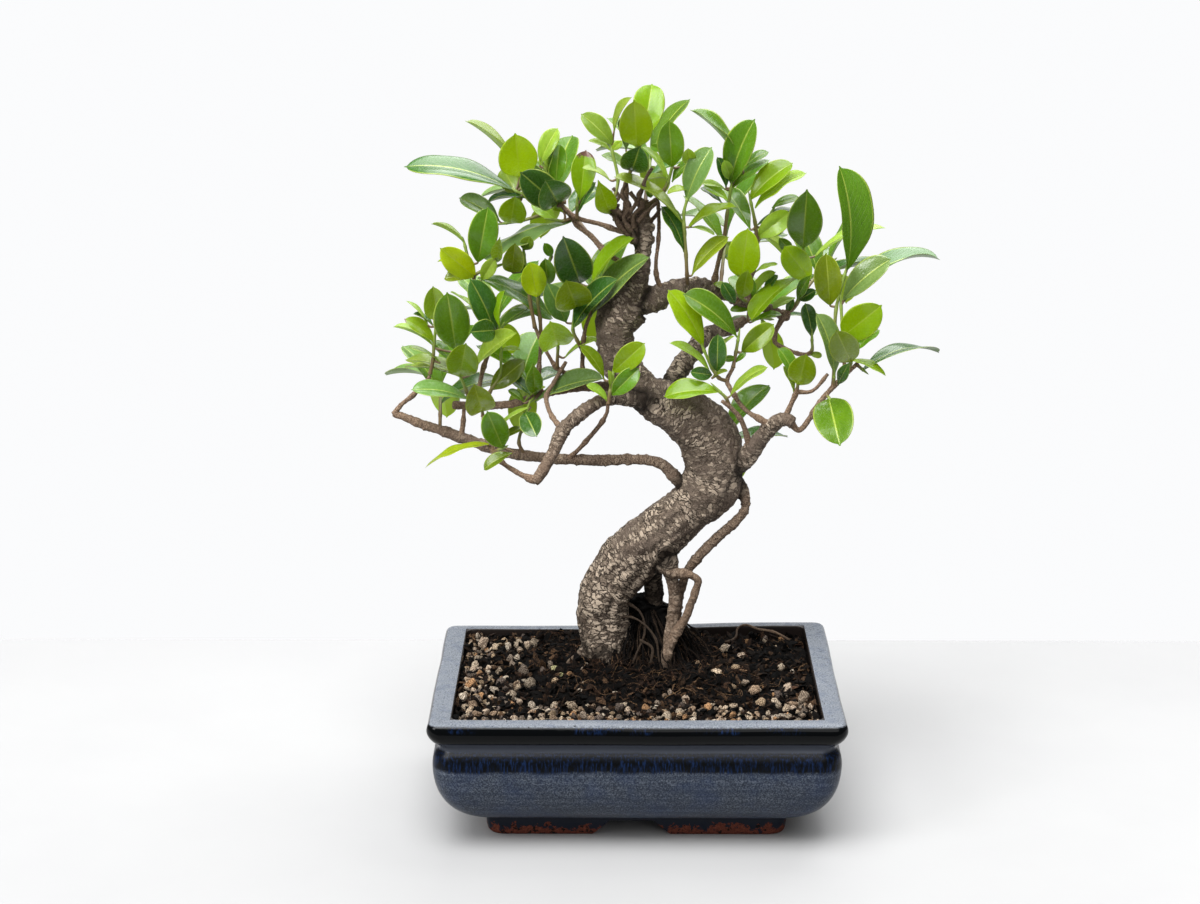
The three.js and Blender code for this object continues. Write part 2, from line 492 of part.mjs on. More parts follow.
// A flat-topped arch cut through the foot skirt, from front to back or from side to side.
function archCut({ below, above }, sideways) {
  const knee = above / 2 + ARCH.kneeOut;
  const top = above / 2 - ARCH.topIn;
  const outline = new THREE.Shape();
  outline.moveTo(-below / 2, -1);
  outline.lineTo(below / 2, -1);
  outline.quadraticCurveTo(knee, ARCH.knee * ARCH.height, top, ARCH.height);
  outline.lineTo(-top, ARCH.height);
  outline.quadraticCurveTo(-knee, ARCH.knee * ARCH.height, -below / 2, -1);
  const reach = POT.bellyLong;
  const cut = new THREE.ExtrudeGeometry(outline,
    { depth: reach, bevelEnabled: false, curveSegments: ARCH.steps });
  cut.translate(0, 0, -reach / 2);
  cut.rotateX(Math.PI / 2);
  if (sideways) cut.rotateZ(Math.PI / 2);
  return bodyOf(cut);
}

// A ring of the lip, which swells out over the neck.
function lipRing(out, z) {
  return roundedRing(lerp(POT.neckLong, POT.lipLong, out), lerp(POT.neckDeep, POT.lipDeep, out),
    POT.corner, z);
}

function trayOutside() {
  const foot = FOOT_PROFILE.map(([inward, z]) =>
    roundedRing(POT.footLong - 2 * inward, POT.footDeep - 2 * inward, POT.footCorner, z));
  const shoulder = roundedRing(POT.bellyLong - 2 * POT.shoulderIn, POT.bellyDeep - 2 * POT.shoulderIn,
    POT.corner, POT.bellyZ + POT.bellyRise);
  const rim = [POT.rimRound, 0].map((down) =>
    roundedRing(POT.rimLong + POT.rimSwell * down, POT.rimDeep + POT.rimSwell * down, POT.corner,
      POT.height - down));
  return loft([
    ...foot, ...BELLY_SHARES.map(bellyRing), shoulder,
    lipRing(0, POT.neckZ), lipRing(0.75, POT.neckZ + POT.lipSwell), lipRing(1, POT.lipZ), ...rim,
  ]);
}

// The ring of the hollow inside the walls, a little smaller by inset.
function insideRing(inset, z, sidePoints = 0) {
  const narrower = 2 * (POT.wall + inset);
  return roundedRing(POT.rimLong - narrower, POT.rimDeep - narrower, POT.insideCorner - inset, z, sidePoints);
}

function tray() {
  const floorLong = POT.footLong + 2 * POT.floorOut;
  const floorDeep = POT.footDeep + 2 * POT.floorOut;
  const hollow = loft([
    roundedRing(floorLong, floorDeep, POT.floorCorner, POT.floorTop),
    insideRing(0, POT.insideStraightZ), insideRing(0, POT.height + 1),
  ]);
  const underRing = (z) =>
    roundedRing(POT.footLong - 2 * POT.footWall, POT.footDeep - 2 * POT.footWall, POT.insideCorner, z);
  const drains = [-1, 1].map((side) => {
    const drain = new THREE.CylinderGeometry(DRAIN.radius, DRAIN.radius, DRAIN.reach, DRAIN.sides);
    drain.rotateX(Math.PI / 2);
    drain.translate(side * DRAIN.offset, 0, POT.floorTop);
    return bodyOf(drain);
  });
  const cuts = [hollow, loft([underRing(-1), underRing(POT.floorUnder)]), ...drains,
    archCut(FRONT_ARCH, false), archCut(SIDE_ARCH, true)];
  return largest(trayOutside().subtract(wasm.Manifold.union(cuts)));
}

// A square of plastic mesh that keeps the soil from a drain hole.
function meshPlate(side) {
  const block = (wide, tall, x, y) => {
    const geometry = new THREE.BoxGeometry(wide, wide, tall);
    geometry.translate(side * DRAIN.offset + x, y, POT.floorTop + GAP + MESH_PLATE.thickness / 2);
    return bodyOf(geometry);
  };
  const middle = (MESH_PLATE.count - 1) / 2;
  const holes = [];
  for (let i = 0; i < MESH_PLATE.count ** 2; i += 1) {
    const x = ((i % MESH_PLATE.count) - middle) * MESH_PLATE.pitch;
    const y = (Math.floor(i / MESH_PLATE.count) - middle) * MESH_PLATE.pitch;
    holes.push(block(MESH_PLATE.hole, 2 * MESH_PLATE.thickness, x, y));
  }
  return block(MESH_PLATE.side, MESH_PLATE.thickness, 0, 0).subtract(wasm.Manifold.union(holes));
}

// ---- the soil ----

// The soil rises in a low mound round the trunk, and is uneven all over.
function soilHeight(x, y) {
  const far = Math.hypot(x - SOIL.trunkX, y - TRUNK_PLANE_Y) / SOIL.moundRadius;
  const rough = Math.sin(x * 0.21 + 1.3) * Math.cos(y * 0.19) + 0.6 * Math.sin(x * 0.37 - y * 0.33);
  return SOIL.edgeZ + SOIL.moundRise * Math.exp(-far * far) + SOIL.roughness * rough;
}

// Where pumice lies: the left end, the whole front edge and the right front corner.
function isGravelled(x, y) {
  const leftEnd = x < GRAVEL.leftEnd;
  const frontEdge = y < GRAVEL.frontEdge;
  const rightFront = x > GRAVEL.rightFrom && y < GRAVEL.rightBefore;
  return leftEnd || frontEdge || rightFront;
}

function grainBody({ x, y, radius, turn }) {
  const grain = new THREE.OctahedronGeometry(radius, 0);
  grain.scale(...GRAINS.shape);
  grain.rotateX(turn.x);
  grain.rotateY(turn.y);
  grain.rotateZ(turn.z);
  grain.translate(x, y, soilHeight(x, y) + radius * GRAINS.sunk);
  return bodyOf(grain);
}

// Pumice grains, half sunk in the soil.
function grains() {
  const random = seeded(GRAINS.seed);
  const halfLong = POT.rimLong / 2 - POT.wall - GRAINS.fromWall;
  const halfDeep = POT.rimDeep / 2 - POT.wall - GRAINS.fromWall;
  const found = [];
  for (let tries = 0; tries < GRAINS.tries; tries += 1) {
    const x = (2 * random() - 1) * halfLong;
    const y = (2 * random() - 1) * halfDeep;
    const radius = lerp(GRAINS.small, GRAINS.large, random());
    const turn = V(random() * 2 * Math.PI, random() * 2 * Math.PI, random() * 2 * Math.PI);
    const isStray = random() < GRAVEL.strays && Math.hypot(x, y - TRUNK_PLANE_Y) > GRAVEL.clear;
    const apart = GRAINS.spacing + GRAINS.jitter * random();
    const isClear = found.every((other) => Math.hypot(other.x - x, other.y - y) > apart);
    if (isClear && (isStray || isGravelled(x, y))) found.push({ x, y, radius, turn });
  }
  return found.map(grainBody);
}

// The soil fills the tray, with a hole for the wood and room for the mesh plates.
function soil(woodGrown, plates) {
  const floorLong = POT.footLong + 2 * (POT.floorOut - GAP);
  const floorDeep = POT.footDeep + 2 * (POT.floorOut - GAP);
  const rings = [
    roundedRing(floorLong, floorDeep, POT.floorCorner, POT.floorTop + GAP, SOIL.sidePoints),
    insideRing(GAP, POT.insideStraightZ, SOIL.sidePoints),
  ];
  for (let i = SOIL.rings; i > 0; i -= 1) {
    rings.push(insideRing(GAP, 0, SOIL.sidePoints).map((edge) => {
      const x = lerp(SOIL.trunkX, edge.x, i / SOIL.rings);
      const y = lerp(TRUNK_PLANE_Y, edge.y, i / SOIL.rings);
      return V(x, y, soilHeight(x, y));
    }));
  }
  rings.push([V(SOIL.trunkX, TRUNK_PLANE_Y, soilHeight(SOIL.trunkX, TRUNK_PLANE_Y))]);
  const filled = wasm.Manifold.union([loft(rings), ...grains()]);
  const plateRooms = plates.map((_, i) => {
    const side = MESH_PLATE.side + 2 * GAP;
    const room = new THREE.BoxGeometry(side, side, MESH_PLATE.thickness + 3 * GAP);
    room.translate((2 * i - 1) * DRAIN.offset, 0, POT.floorTop + GAP + MESH_PLATE.thickness / 2);
    return bodyOf(room);
  });
  return largest(filled.subtract(wasm.Manifold.union([woodGrown, ...plateRooms])));
}

// ---- leaves ----

// The point nearest to a place on any of some chains of points.
function nearestOn(chains, place) {
  let best = null;
  chains.forEach((chain) => chain.slice(1).forEach((end, i) => {
    const point = new THREE.Line3(chain[i], end).closestPointToPoint(place, true, new THREE.Vector3());
    const far = point.distanceTo(place);
    if (!best || far < best.far) best = { point, far };
  }));
  return best.point;
}

// The depth of the stem point that is seen nearest to a column and row.
function stemDepth(stems, spot) {
  let best = null;
  stems.flat().forEach((point) => {
    const behind = point.y - TRUNK_PLANE_Y;
    const far = seen(spot, behind).distanceTo(point);
    if (!best || far < best.far) best = { far, behind };
  });
  return best.behind;
}

// Works out one leaf from how it is seen: its true length from its width, and its tilt and roll.
function leafPlan([bc, br, tc, tr, wide, lean = -1, side = 1, via = null], stems, bend) {
  const root = nearestOn(stems, seen([bc, br], stemDepth(stems, [bc, br])));
  const behind = root.y - TRUNK_PLANE_Y;
  const seenLength = Math.hypot(tc - bc, tr - br) * PIXEL;
  const seenWidth = wide * PIXEL;
  const length = Math.max(seenLength, seenWidth / LEAF.widest, LEAF.shortest);
  const hidden = Math.sqrt(Math.max(0, length ** 2 - seenLength ** 2));
  const base = seen([bc, br], behind);
  const tip = seen([tc, tr], behind + lean * hidden + bend);
  const width = Math.max(seenWidth, LEAF.widthOfLength * length);
  const roll = Math.acos(Math.min(1, seenWidth / width));
  const along = tip.clone().sub(base).normalize();
  const toEye = VIEW.eye.clone().sub(base).normalize();
  const face = toEye.addScaledVector(along, -toEye.dot(along)).normalize();
  const sideways = new THREE.Vector3().crossVectors(along, face);
  const towardsSky = Math.sign(sideways.z) || 1;
  face.multiplyScalar(Math.cos(roll)).addScaledVector(sideways, towardsSky * Math.sin(roll));
  face.multiplyScalar(side);
  const middle = via
    ? seen(via, behind + (lean * hidden + bend) / 2)
    : base.clone().lerp(tip, 0.5).addScaledVector(face, LEAF.bow * length * side);
  const control = middle.multiplyScalar(2).addScaledVector(base, -0.5).addScaledVector(tip, -0.5);
  return { root, base, control, tip, face, width };
}

// [along, share of the full width, thickness at the midrib]
const BLADE = [[0.22, 0.78, 2], [0.52, 1.08, 1.4], [0.82, 0.84, 1.2]];
const SMALL_BLADE = [[0.3, 0.96, 1.8], [0.72, 1, 1.2]];

// A leaf's section: two sharp sides, folded up, and the midrib's upper and under face.
function leafSection(plan, centre, along, half, rise, thickness) {
  const across = new THREE.Vector3().crossVectors(along, plan.face).normalize();
  const up = new THREE.Vector3().crossVectors(across, along).normalize();
  const edge = (sign) => centre.clone().addScaledVector(across, sign * half).addScaledVector(up, rise * half);
  return [edge(-1), centre.clone().addScaledVector(up, thickness / 2), edge(1),
    centre.clone().addScaledVector(up, -thickness / 2)];
}

// A folded blade: sharp at its sides, thickest along the midrib, pointed at its tip. Its stalk starts
// inside the stem. Swollen by grow, it holds the space that other pieces keep out of.
function leafBody(plan, grow = 0) {
  const curve = new THREE.QuadraticBezierCurve3(plan.base, plan.control, plan.tip);
  const isSmall = plan.base.distanceTo(plan.tip) < LEAF.small;
  const section = (centre, along, half, rise, thickness) =>
    leafSection(plan, centre, along, half + LEAF.edgeGrow * grow, rise, thickness + 2 * grow);
  const stalk = plan.base.clone().sub(plan.root);
  const leaving = stalk.length() > 1 ? stalk.clone().normalize() : curve.getTangent(0);
  const rings = [];
  if (stalk.length() > LEAF.petioleReach) {
    const half = LEAF.petioleWidth / 2;
    rings.push(section(plan.root, leaving, half, 0, LEAF.petioleThickness));
    rings.push(section(plan.base, curve.getTangent(0), half * LEAF.petioleFlare, 0, LEAF.petioleThickness));
  } else {
    rings.push([plan.root.clone().addScaledVector(leaving, -LEAF.rootDepth)]);
  }
  (isSmall ? SMALL_BLADE : BLADE).forEach(([t, share, thickness]) => {
    const half = (share * plan.width) / 2;
    rings.push(section(curve.getPoint(t), curve.getTangent(t), half, LEAF.fold, thickness));
  });
  rings.push([plan.tip.clone().addScaledVector(curve.getTangent(1), LEAF.edgeGrow * grow)]);
  return loft(rings);
}

// ---- leafy shoots ----

// Stems taper, and end in a short bud past the last leaf.
function stemBodies(paths, grow) {
  return paths.map((path) => {
    const [before, last] = path.slice(-2);
    const bud = last.clone().addScaledVector(last.clone().sub(before).normalize(), STEM.bud);
    const points = [...path.slice(0, -1), bud];
    return taperedTube(points.map((point, i) => ({
      point, radius: lerp(STEM.radius, STEM.tip, i / (points.length - 1)),
    })), STEM.sides, SPANS.stem, grow);
  });
}

// The bend of a leaf that crosses other shoots and its own neighbours least, the smallest that will do.
function clearPlan(planFor, standing, own) {
  const crossed = (blade, others) => others.filter((other) => boxesMeet(other, blade))
    .reduce((sum, other) => sum + other.intersect(blade).volume(), 0);
  let best = null;
  for (const bend of BEND_STEPS) {
    const plan = planFor(bend);
    const blade = leafBody(plan, GAP);
    const ownCrossing = Math.max(0, crossed(blade, own) - ROOT_OVERLAP);
    const crossing = crossed(blade, standing) + ownCrossing * OWN_WEIGHT;
    if (!best || crossing < best.crossing - WORTH_BENDING) best = { crossing, plan, blade };
    if (best.crossing < CLEAR_ENOUGH) break;
  }
  return best;
}

// Bends each leaf clear of what stands already, fuses the shoot and cuts it clear of the rest.
function finishShoot(paths, makers, standing) {
  const chosen = [];
  makers.forEach((planFor) => {
    chosen.push(clearPlan(planFor, standing, chosen.map((c) => c.blade)));
  });
  const whole = fuse([...stemBodies(paths, 0), ...chosen.map(({ plan }) => leafBody(plan))]);
  const near = standing.filter((other) => boxesMeet(other, whole));
  const swollen = wasm.Manifold.union([...stemBodies(paths, GAP), ...chosen.map((c) => c.blade)]);
  const solid = near.length ? largest(whole.subtract(wasm.Manifold.union(near))) : whole;
  return { solid, swollen };
}

// A shoot that is seen: its stem or stems, and its leaves.
function shoot({ stems, leaves }, standing) {
  const paths = stems.map((rows) => rows.map(([column, row, behind]) => seen([column, row], behind)));
  const makers = leaves.map((leaf) => (bend) => leafPlan(leaf, paths, bend));
  return finishShoot(paths, makers, standing);
}

// A leaf of a rear shoot, with its upper face to the sky.
function rearPlan(base, direction, length, bend) {
  const heading = direction.clone().add(V(0, bend / length, 0)).normalize();
  const tip = base.clone().addScaledVector(heading, length);
  const face = V(0, 0, 1).addScaledVector(heading, -heading.z).normalize();
  const control = base.clone().lerp(tip, 0.5).addScaledVector(face, 2 * LEAF.bow * length);
  return { root: base, base, control, tip, face, width: LEAF.widthOfLength * length };
}

// A rear shoot: a stem that reaches away from its root, with leaves set round it by a fixed turn.
function rearShoot([column, row, behind, right, up, back], standing) {
  const root = seen([column, row], behind);
  const end = root.clone().add(V(right, back, up));
  const arch = root.clone().lerp(end, 0.5).add(V(0, 0, REAR.arch));
  const curve = new THREE.QuadraticBezierCurve3(root, arch, end);
  const makers = [];
  for (let i = 0; i < REAR.leaves; i += 1) {
    const t = lerp(REAR.firstAt, 1, i / (REAR.leaves - 1));
    const angle = degToRad(REAR.turn * i);
    const forward = curve.getTangent(t);
    const flat = new THREE.Vector3().crossVectors(forward, V(0, 0, 1)).normalize();
    const rise = new THREE.Vector3().crossVectors(flat, forward).normalize();
    const outward = flat.multiplyScalar(Math.cos(angle)).addScaledVector(rise, Math.sin(angle));
    const direction = forward.multiplyScalar(REAR.onward).addScaledVector(outward, REAR.spread).normalize();
    const length = REAR.length - REAR.shorter * (i % 3);
    makers.push((bend) => rearPlan(curve.getPoint(t), direction, length, bend));
  }
  return finishShoot([[0, 0.5, 1].map((t) => curve.getPoint(t))], makers, standing);
}

// ---- the group ----
const tree = new THREE.Group();
const LOOKS = { // [colour, roughness, metalness]
  glaze: [0x3a4760, 0.22, 0], earth: [0x2a1f18, 0.95, 0], bark: [0x6f6455, 0.8, 0],
  leaf: [0x4c7a2a, 0.35, 0], plastic: [0x20242a, 0.6, 0],
};

function place(name, solid, look) {
  const mesh = solid.getMesh();
  const geometry = new THREE.BufferGeometry();
  geometry.setAttribute('position', new THREE.BufferAttribute(mesh.vertProperties, 3));
  geometry.setIndex(new THREE.BufferAttribute(mesh.triVerts, 1));
  const [color, roughness, metalness] = LOOKS[look];
  const part = new THREE.Mesh(geometry, new THREE.MeshStandardMaterial({ color, roughness, metalness }));
  part.name = name;
  tree.add(part);
}

const woodGrown = wood(GAP);
const plates = [-1, 1].map(meshPlate);
place('pot', tray(), 'glaze');
place('drain_mesh_left', plates[0], 'plastic');
place('drain_mesh_right', plates[1], 'plastic');
place('soil', soil(woodGrown, plates), 'earth');
place('wood', wood(), 'bark');

const standing = [woodGrown];
function growShoot(name, made) {
  place(`shoot_${name}`, made.solid, 'leaf');
  standing.push(made.swollen);
}
SHOOTS.forEach((row) => growShoot(row.name, shoot(row, standing)));
Object.entries(REAR_SHOOTS).forEach(([name, row]) => growShoot(name, rearShoot(row, standing)));

const extent = new THREE.Box3().setFromObject(tree);
const centre = extent.getCenter(new THREE.Vector3());
tree.position.set(-centre.x, -centre.y, -extent.min.z);

export default tree;
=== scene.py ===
# The finished looks of a trained fig tree (bonsai) with an S-shaped trunk, in a blue glazed stoneware tray.
# Lengths are in millimetres, from the tray's centre on the floor, with +Z up and the front towards -Y.
# They become metres in the shared frame when a piece is made.
import itertools
import math

import bmesh
import bpy
import numpy as np
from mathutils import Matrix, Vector
from mathutils.bvhtree import BVHTree


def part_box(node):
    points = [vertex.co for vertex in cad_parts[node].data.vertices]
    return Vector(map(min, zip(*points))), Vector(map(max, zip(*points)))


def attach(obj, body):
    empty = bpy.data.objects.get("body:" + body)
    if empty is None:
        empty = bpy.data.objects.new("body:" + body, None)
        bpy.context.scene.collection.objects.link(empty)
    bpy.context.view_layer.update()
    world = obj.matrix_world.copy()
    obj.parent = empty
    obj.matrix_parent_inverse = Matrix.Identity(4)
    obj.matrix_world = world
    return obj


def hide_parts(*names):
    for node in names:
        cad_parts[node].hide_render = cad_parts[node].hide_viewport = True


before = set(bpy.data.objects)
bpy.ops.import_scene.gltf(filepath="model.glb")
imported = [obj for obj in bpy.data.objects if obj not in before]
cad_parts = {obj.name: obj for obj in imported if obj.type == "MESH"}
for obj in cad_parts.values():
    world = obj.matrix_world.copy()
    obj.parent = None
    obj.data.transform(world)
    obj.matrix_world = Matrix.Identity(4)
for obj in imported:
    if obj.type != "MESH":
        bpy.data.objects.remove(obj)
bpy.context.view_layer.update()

MM = 0.001
TRAY_LOW, TRAY_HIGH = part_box("pot")
CENTRE = np.array([(TRAY_LOW.x + TRAY_HIGH.x) / 2, (TRAY_LOW.y + TRAY_HIGH.y) / 2, TRAY_LOW.z])

# ---- the eye that the tree was measured from: places are [column, row] of a view 1200 x 904 across,
#      and a depth behind the trunk plane ----
IMAGE_WIDTH = 1200
FOCAL, COLUMN, ROW = 2540, 600, 452
PITCH, YAW = math.radians(14.4), math.radians(-0.3)
EYE = np.array([-14.0, -1431.0, 582.0])
SENSOR = 36
AHEAD = np.array([math.sin(YAW) * math.cos(PITCH), math.cos(YAW) * math.cos(PITCH), -math.sin(PITCH)])
RIGHT = np.array([math.cos(YAW), -math.sin(YAW), 0.0])
UPWARD = np.array([math.sin(YAW) * math.sin(PITCH), math.cos(YAW) * math.sin(PITCH), math.cos(PITCH)])
TRUNK_PLANE_Y = 30
PIXEL = 0.58  # the millimetres that a pixel covers at the trunk plane


def ray(column, row):
    """The direction in which a column and row are seen."""
    return AHEAD + RIGHT * (column - COLUMN) / FOCAL + UPWARD * (ROW - row) / FOCAL


def seen(column, row, behind=0.0):
    """The point seen at a column and row, at a depth behind the trunk plane."""
    way = ray(column, row)
    return EYE + way * ((TRUNK_PLANE_Y + behind - EYE[1]) / way[1])


# ---- the floor, in millimetres, and the light: its places in metres, the lamps' powers in watts ----
FLOOR = {"wide": 2400, "near": -250, "far": 295}
KEY = {"from": (-0.22, -0.55, 1.5), "spread": 0.8, "strength": 5.2}
LAMPS = {  # place, size and power
    "left": ((-1.2, -0.9, 1.0), 0.7, 20), "back": ((0.3, 0.8, 1.5), 1.5, 30),
    "front": ((0.5, -1.8, 1.2), 1.2, 11)}
LAMP_AIM = (0, 0, 0.2)
# The background's strength, by the cosine of the angle to where the camera looks.
BACKGROUND = {"From Min": 0.8, "From Max": 0.952, "To Min": 0.22, "To Max": 0.98}

# ---- the tray ----
SIDES = ("long", "deep")
RIM = {"long": 232, "deep": 177, "wall": 12, "side": 11, "front": 9.5, "back": 7.5}
BELLY = {"long": 233, "deep": 178, "z": 51}
FOOT = {"long": 175, "deep": 118, "z": 14, "wall": 13, "under": 9.5}
CORNER, INSIDE_CORNER, FOOT_CORNER, FLOOR_CORNER = 13, 5, 9, 8
FLOOR_Z, INSIDE_STRAIGHT_Z, FLOOR_OUT = 20, 45, 2
MIDDLE_IN = 60  # how much shorter the floor's last ring is, where the skin closes
ARCHES = {"front": (48, 33), "side": (30, 20)}  # the widths below and above
ARCH = {"height": 9.5, "knee": 0.55, "knee_out": 1, "top_in": 4, "left_of_middle": 3}
DRAIN = {"radius": 8, "offset": 52, "past": 5, "sides": 32}
TRAY_CREASE = 40
UNDERSIDE = [  # how far out from the hollow's length, corner, height
    (-MIDDLE_IN, 3, FOOT["under"]), (-1, 6, FOOT["under"]), (0, 6, FOOT["under"] - 1), (0, 6, 1), (2, 7, 0)]
FOOT_SIDE = [(5, 0), (3.4, 0.5), (2.2, 1.6), (1.4, 3), (0.5, 5), (0.1, 7.5), (0, 10), (0, 12.4), (0.4, 13.4)]
BELLY_SHARES = (0.985, 0, 20)  # of a quarter turn: the first, the last and how many
SHOULDER = [  # how far in from the belly's widest line, height, corner
    (0.2, 53.5, 13), (0.9, 56, 13), (2.2, 58.2, 12), (4.4, 60, 11), (6.6, 61.3, 10), (7.8, 62.4, 9),
    (8, 63.2, 8), (7.4, 64, 8), (5.6, 64.9, 8), (3.2, 65.9, 8), (0.6, 67.2, 8), (-1.6, 68.8, 8),
    (-3.4, 70.6, 8), (-4.6, 72.3, 8), (-5, 73.8, 8), (-4.7, 75.4, 7.5), (-3.8, 76.9, 7), (-2.4, 78, 6),
    (-0.6, 78.7, 5), (1.6, 79, 4.5)]
RIM_INSIDE = [(6, 79), (2.2, 79), (0.7, 78.7), (0.1, 77.9), (0, 76), (0, 70), (0, 62), (0, 56)]
HAND = {  # how a hand-made tray strays: its bowed sides, lifted back rim, moved hollow and waves
    "bow": 0.8, "bows_from": (50, 76), "lift": 2.4, "lifts_along": (-30, 90), "lifts_back": (-50, 85),
    "edge": 5, "hollow_above": 40, "wave": 55, "wave_high": (0.4, 0.4, 0.25), "waves_from": (4, 20)}
GLAZE_FROM = {  # the heights between which each zone of the glaze sets in
    "skirt": (15.5, 12.5), "band": (49.0, 51.5), "neck": (60.6, 62.4), "lip": (66.2, 68.2),
    "crest": (73.8, 75.6), "rim": (78.2, 79.2)}

# ---- the soil and the grains on it ----
SOIL = {"edge": 74, "rise": 8, "radius": 62, "rough": 1.3, "x": -8, "y": TRUNK_PLANE_Y,
        "dip": 1.4, "dips_from": 0.975}
SOIL_STEPS = {"corner": 8, "side": 60, "inward": 130, "innermost": 0.004}
CLODS = {"sunk": 0.8, "large": 9, "large_high": 3.4, "small": 3.4, "small_high": 1.3}
GAP = 0.3
GRAVEL = {"left_end": -62, "front_edge": -50, "right_from": 58, "right_before": -20, "strays": 0.03,
          "clear": 45}
GRAINS = {"small": 3.2, "large": 5, "shown": 0.74, "spacing": 15, "jitter": 3, "from_wall": 6,
          "tries": 900, "seed": 41, "shape": (1.2, 0.95, 0.8), "cuts": 9, "cut_at": (0.62, 0.9),
          "proud": 0.4, "shade": (0.45, 0.95), "lumps": 0.22, "pits": 0.14, "swollen": 1.12}
SMALL_GRAINS = {"tries": 9000, "least": 1.2, "more": 1.5, "rarer": 1.5, "cluster": 15, "apart": 0.8,
                "from_wall": 3, "clustering": 1.6, "fewer": 0.25, "strays": 0.008, "more_strays": 0.02}
CRUMBS = 9500
CRUMB = {"least": 0.45, "more": 2.1, "rarer": 2.6, "flat": (0.35, 1.0), "ragged": (0.7, 1.25),
         "long": (1, 1.9), "tilt": 0.6, "proud": 0.3, "from_wall": 1.5, "shade": (0.1, 1.2, 1.4),
         "crease": 25}
ROOTLET = {"count": 330, "near_trunk": 0.55, "near_spread": 26, "far_spread": 70, "near_middle": (12, 16),
           "long": (8, 34), "curl": 0.16, "stray": 0.22, "hump": (0.3, 3.0), "proud": (0.1, 0.8),
           "radius": (0.12, 0.34), "shade": (0.6, 1.2), "places": 9}
# painted shade: the root mass's front colour is dark soil made near black by painted shade; the rear colour
# has none
ROOT_MASS = {"steps": 60, "sides": 40, "lumps": 0.42, "grime_and_shade": (8, 6, 5), "rear": (62, 47, 35)}
# rear_lighter and front_darker lighten the hanging roots behind and darken those in front: painted shade
HANGING = {"count": 150, "start": (3, 30), "top_out": (0.7, 1.05), "foot_out": (0.7, 1.5), "stray": 1.1,
           "bow": 2.5, "radius": (0.2, 0.75), "shade": (0.6, 1.3), "rear_lighter": 1.8, "front_darker": 0.9}
BLACK = (0.0, 0.0, 0.0)
CRUMB_COLOURS = ((16, 12, 10), (27, 20, 15), (42, 30, 22), (9, 7, 6), (60, 43, 31), (92, 70, 51))
PUMICE_COLOURS = ((222, 200, 172), (200, 174, 142), (232, 216, 194), (182, 156, 130), (206, 160, 116),
                  (158, 142, 126), (206, 188, 164), (128, 114, 104), (214, 192, 168))
FIBRE_COLOURS = ((58, 42, 31), (90, 69, 51), (126, 100, 74), (38, 28, 21), (70, 49, 36))
ROOT_COLOURS = ((14, 11, 9), (24, 18, 14), (40, 31, 24), (10, 8, 7), (66, 53, 41))
ROOT_CORE = [  # column, row, behind, width in pixels
    (650, 594, 10, 10), (648, 600, 10, 30), (648, 609, 9, 46), (654, 626, 7, 42), (656, 648, 4, 48),
    (658, 670, 0, 58), (662, 692, -4, 72), (664, 706, -6, 86)]
BARK_CHIPS = [  # column, row, length, width, turn, colour
    (488, 652, 9.5, 3.4, 0.9, (150, 116, 84)), (555, 671, 5, 5, 0.3, (176, 172, 128)),
    (561, 677, 4, 3.6, 1.2, (160, 160, 116)), (742, 672, 7, 2, -0.6, (140, 110, 84)),
    (706, 655, 6, 2, 0.4, (120, 92, 68)), (792, 690, 7, 3, 0.1, (90, 64, 48)),
    (520, 640, 6, 2.4, -0.3, (104, 76, 54)), (600, 700, 5, 2, 0.5, (96, 66, 46)),
    (700, 690, 6, 1.6, -0.9, (128, 100, 74)), (545, 655, 6, 1.8, 0.8, (110, 84, 60))]

# ---- the wood ----
SAMPLE, VOXEL = 0.8, 0.9
SMOOTH = {"times": 3, "share": 0.5}
GNARLED = {"more": 1.1, "heights": (265, 310)}
# painted shade: the bark darkens where it nears another length of wood and round the hollow fork
CREVICE_SHADE = {"touching": (1.02, 1.4), "hollow": (9, 22), "hollow_shade": 1.2}
THINNEST = {"limb": 5.6, "root": 4.6, "twig": 3.6, "thin_root": 1.8}  # in pixels
HOLLOW = (656, 588, 12)  # the fork between the trunk and its legs, round which shade is painted on the bark
KNOTS = [  # column, row, behind, width and swell in pixels
    (727, 489, 0, 30, 6), (667, 556, -14, 15, 7), (590, 572, -4, 12, 3), (584, 612, -4, 14, 4),
    (690, 500, -16, 12, -4), (618, 455, -6, 9, 3), (650, 460, -6, 8, 2.5), (445, 440, -4, 6, 2),
    (700, 470, -18, 14, 3), (655, 405, -14, 14, 3), (664, 352, -14, 10, 3), (793, 421, -8, 9, 5),
    (640, 620, -16, 12, 3), (600, 650, -14, 16, 3), (716, 430, -16, 12, 3)]

# ---- leaves ----
WIDTH_OF_LENGTH, WIDEST, SHORTEST = 0.48, 0.5, 15
TINY = ((24, 15), (46, 7), (36, 10))  # the lengths and widths in pixels below which a leaf is tiny
BOW = 0.09
BLADE = {"steps": 31, "thick": 0.42, "twist": (-10, 10), "widest": (1.3, 1.6), "full": (0.42, 0.5),
         "fold": (0.2, 0.5), "curl": (-0.05, 0.2), "wave": (0.03, 0.1), "phase": (0, 6.3),
         "turns": (1.0, 2.2), "shade": (0.82, 1.34), "tint": (0.92, 1.08)}
STALK = {"shortest": 2.5, "straight": 0.45, "steps": 7, "sides": 8, "radii": (0.8, 0.55)}
STEM = {"steps": 10, "sides": 10, "radius": 1.15, "taper": 0.3, "node": 0.25, "bud": (5, 9),
        "bud_radius": 0.85, "bud_tip": 0.12}
BEND_STEPS = (0, -5, 5, -10, 10, -15, 15, -21, 21, -27, 27)
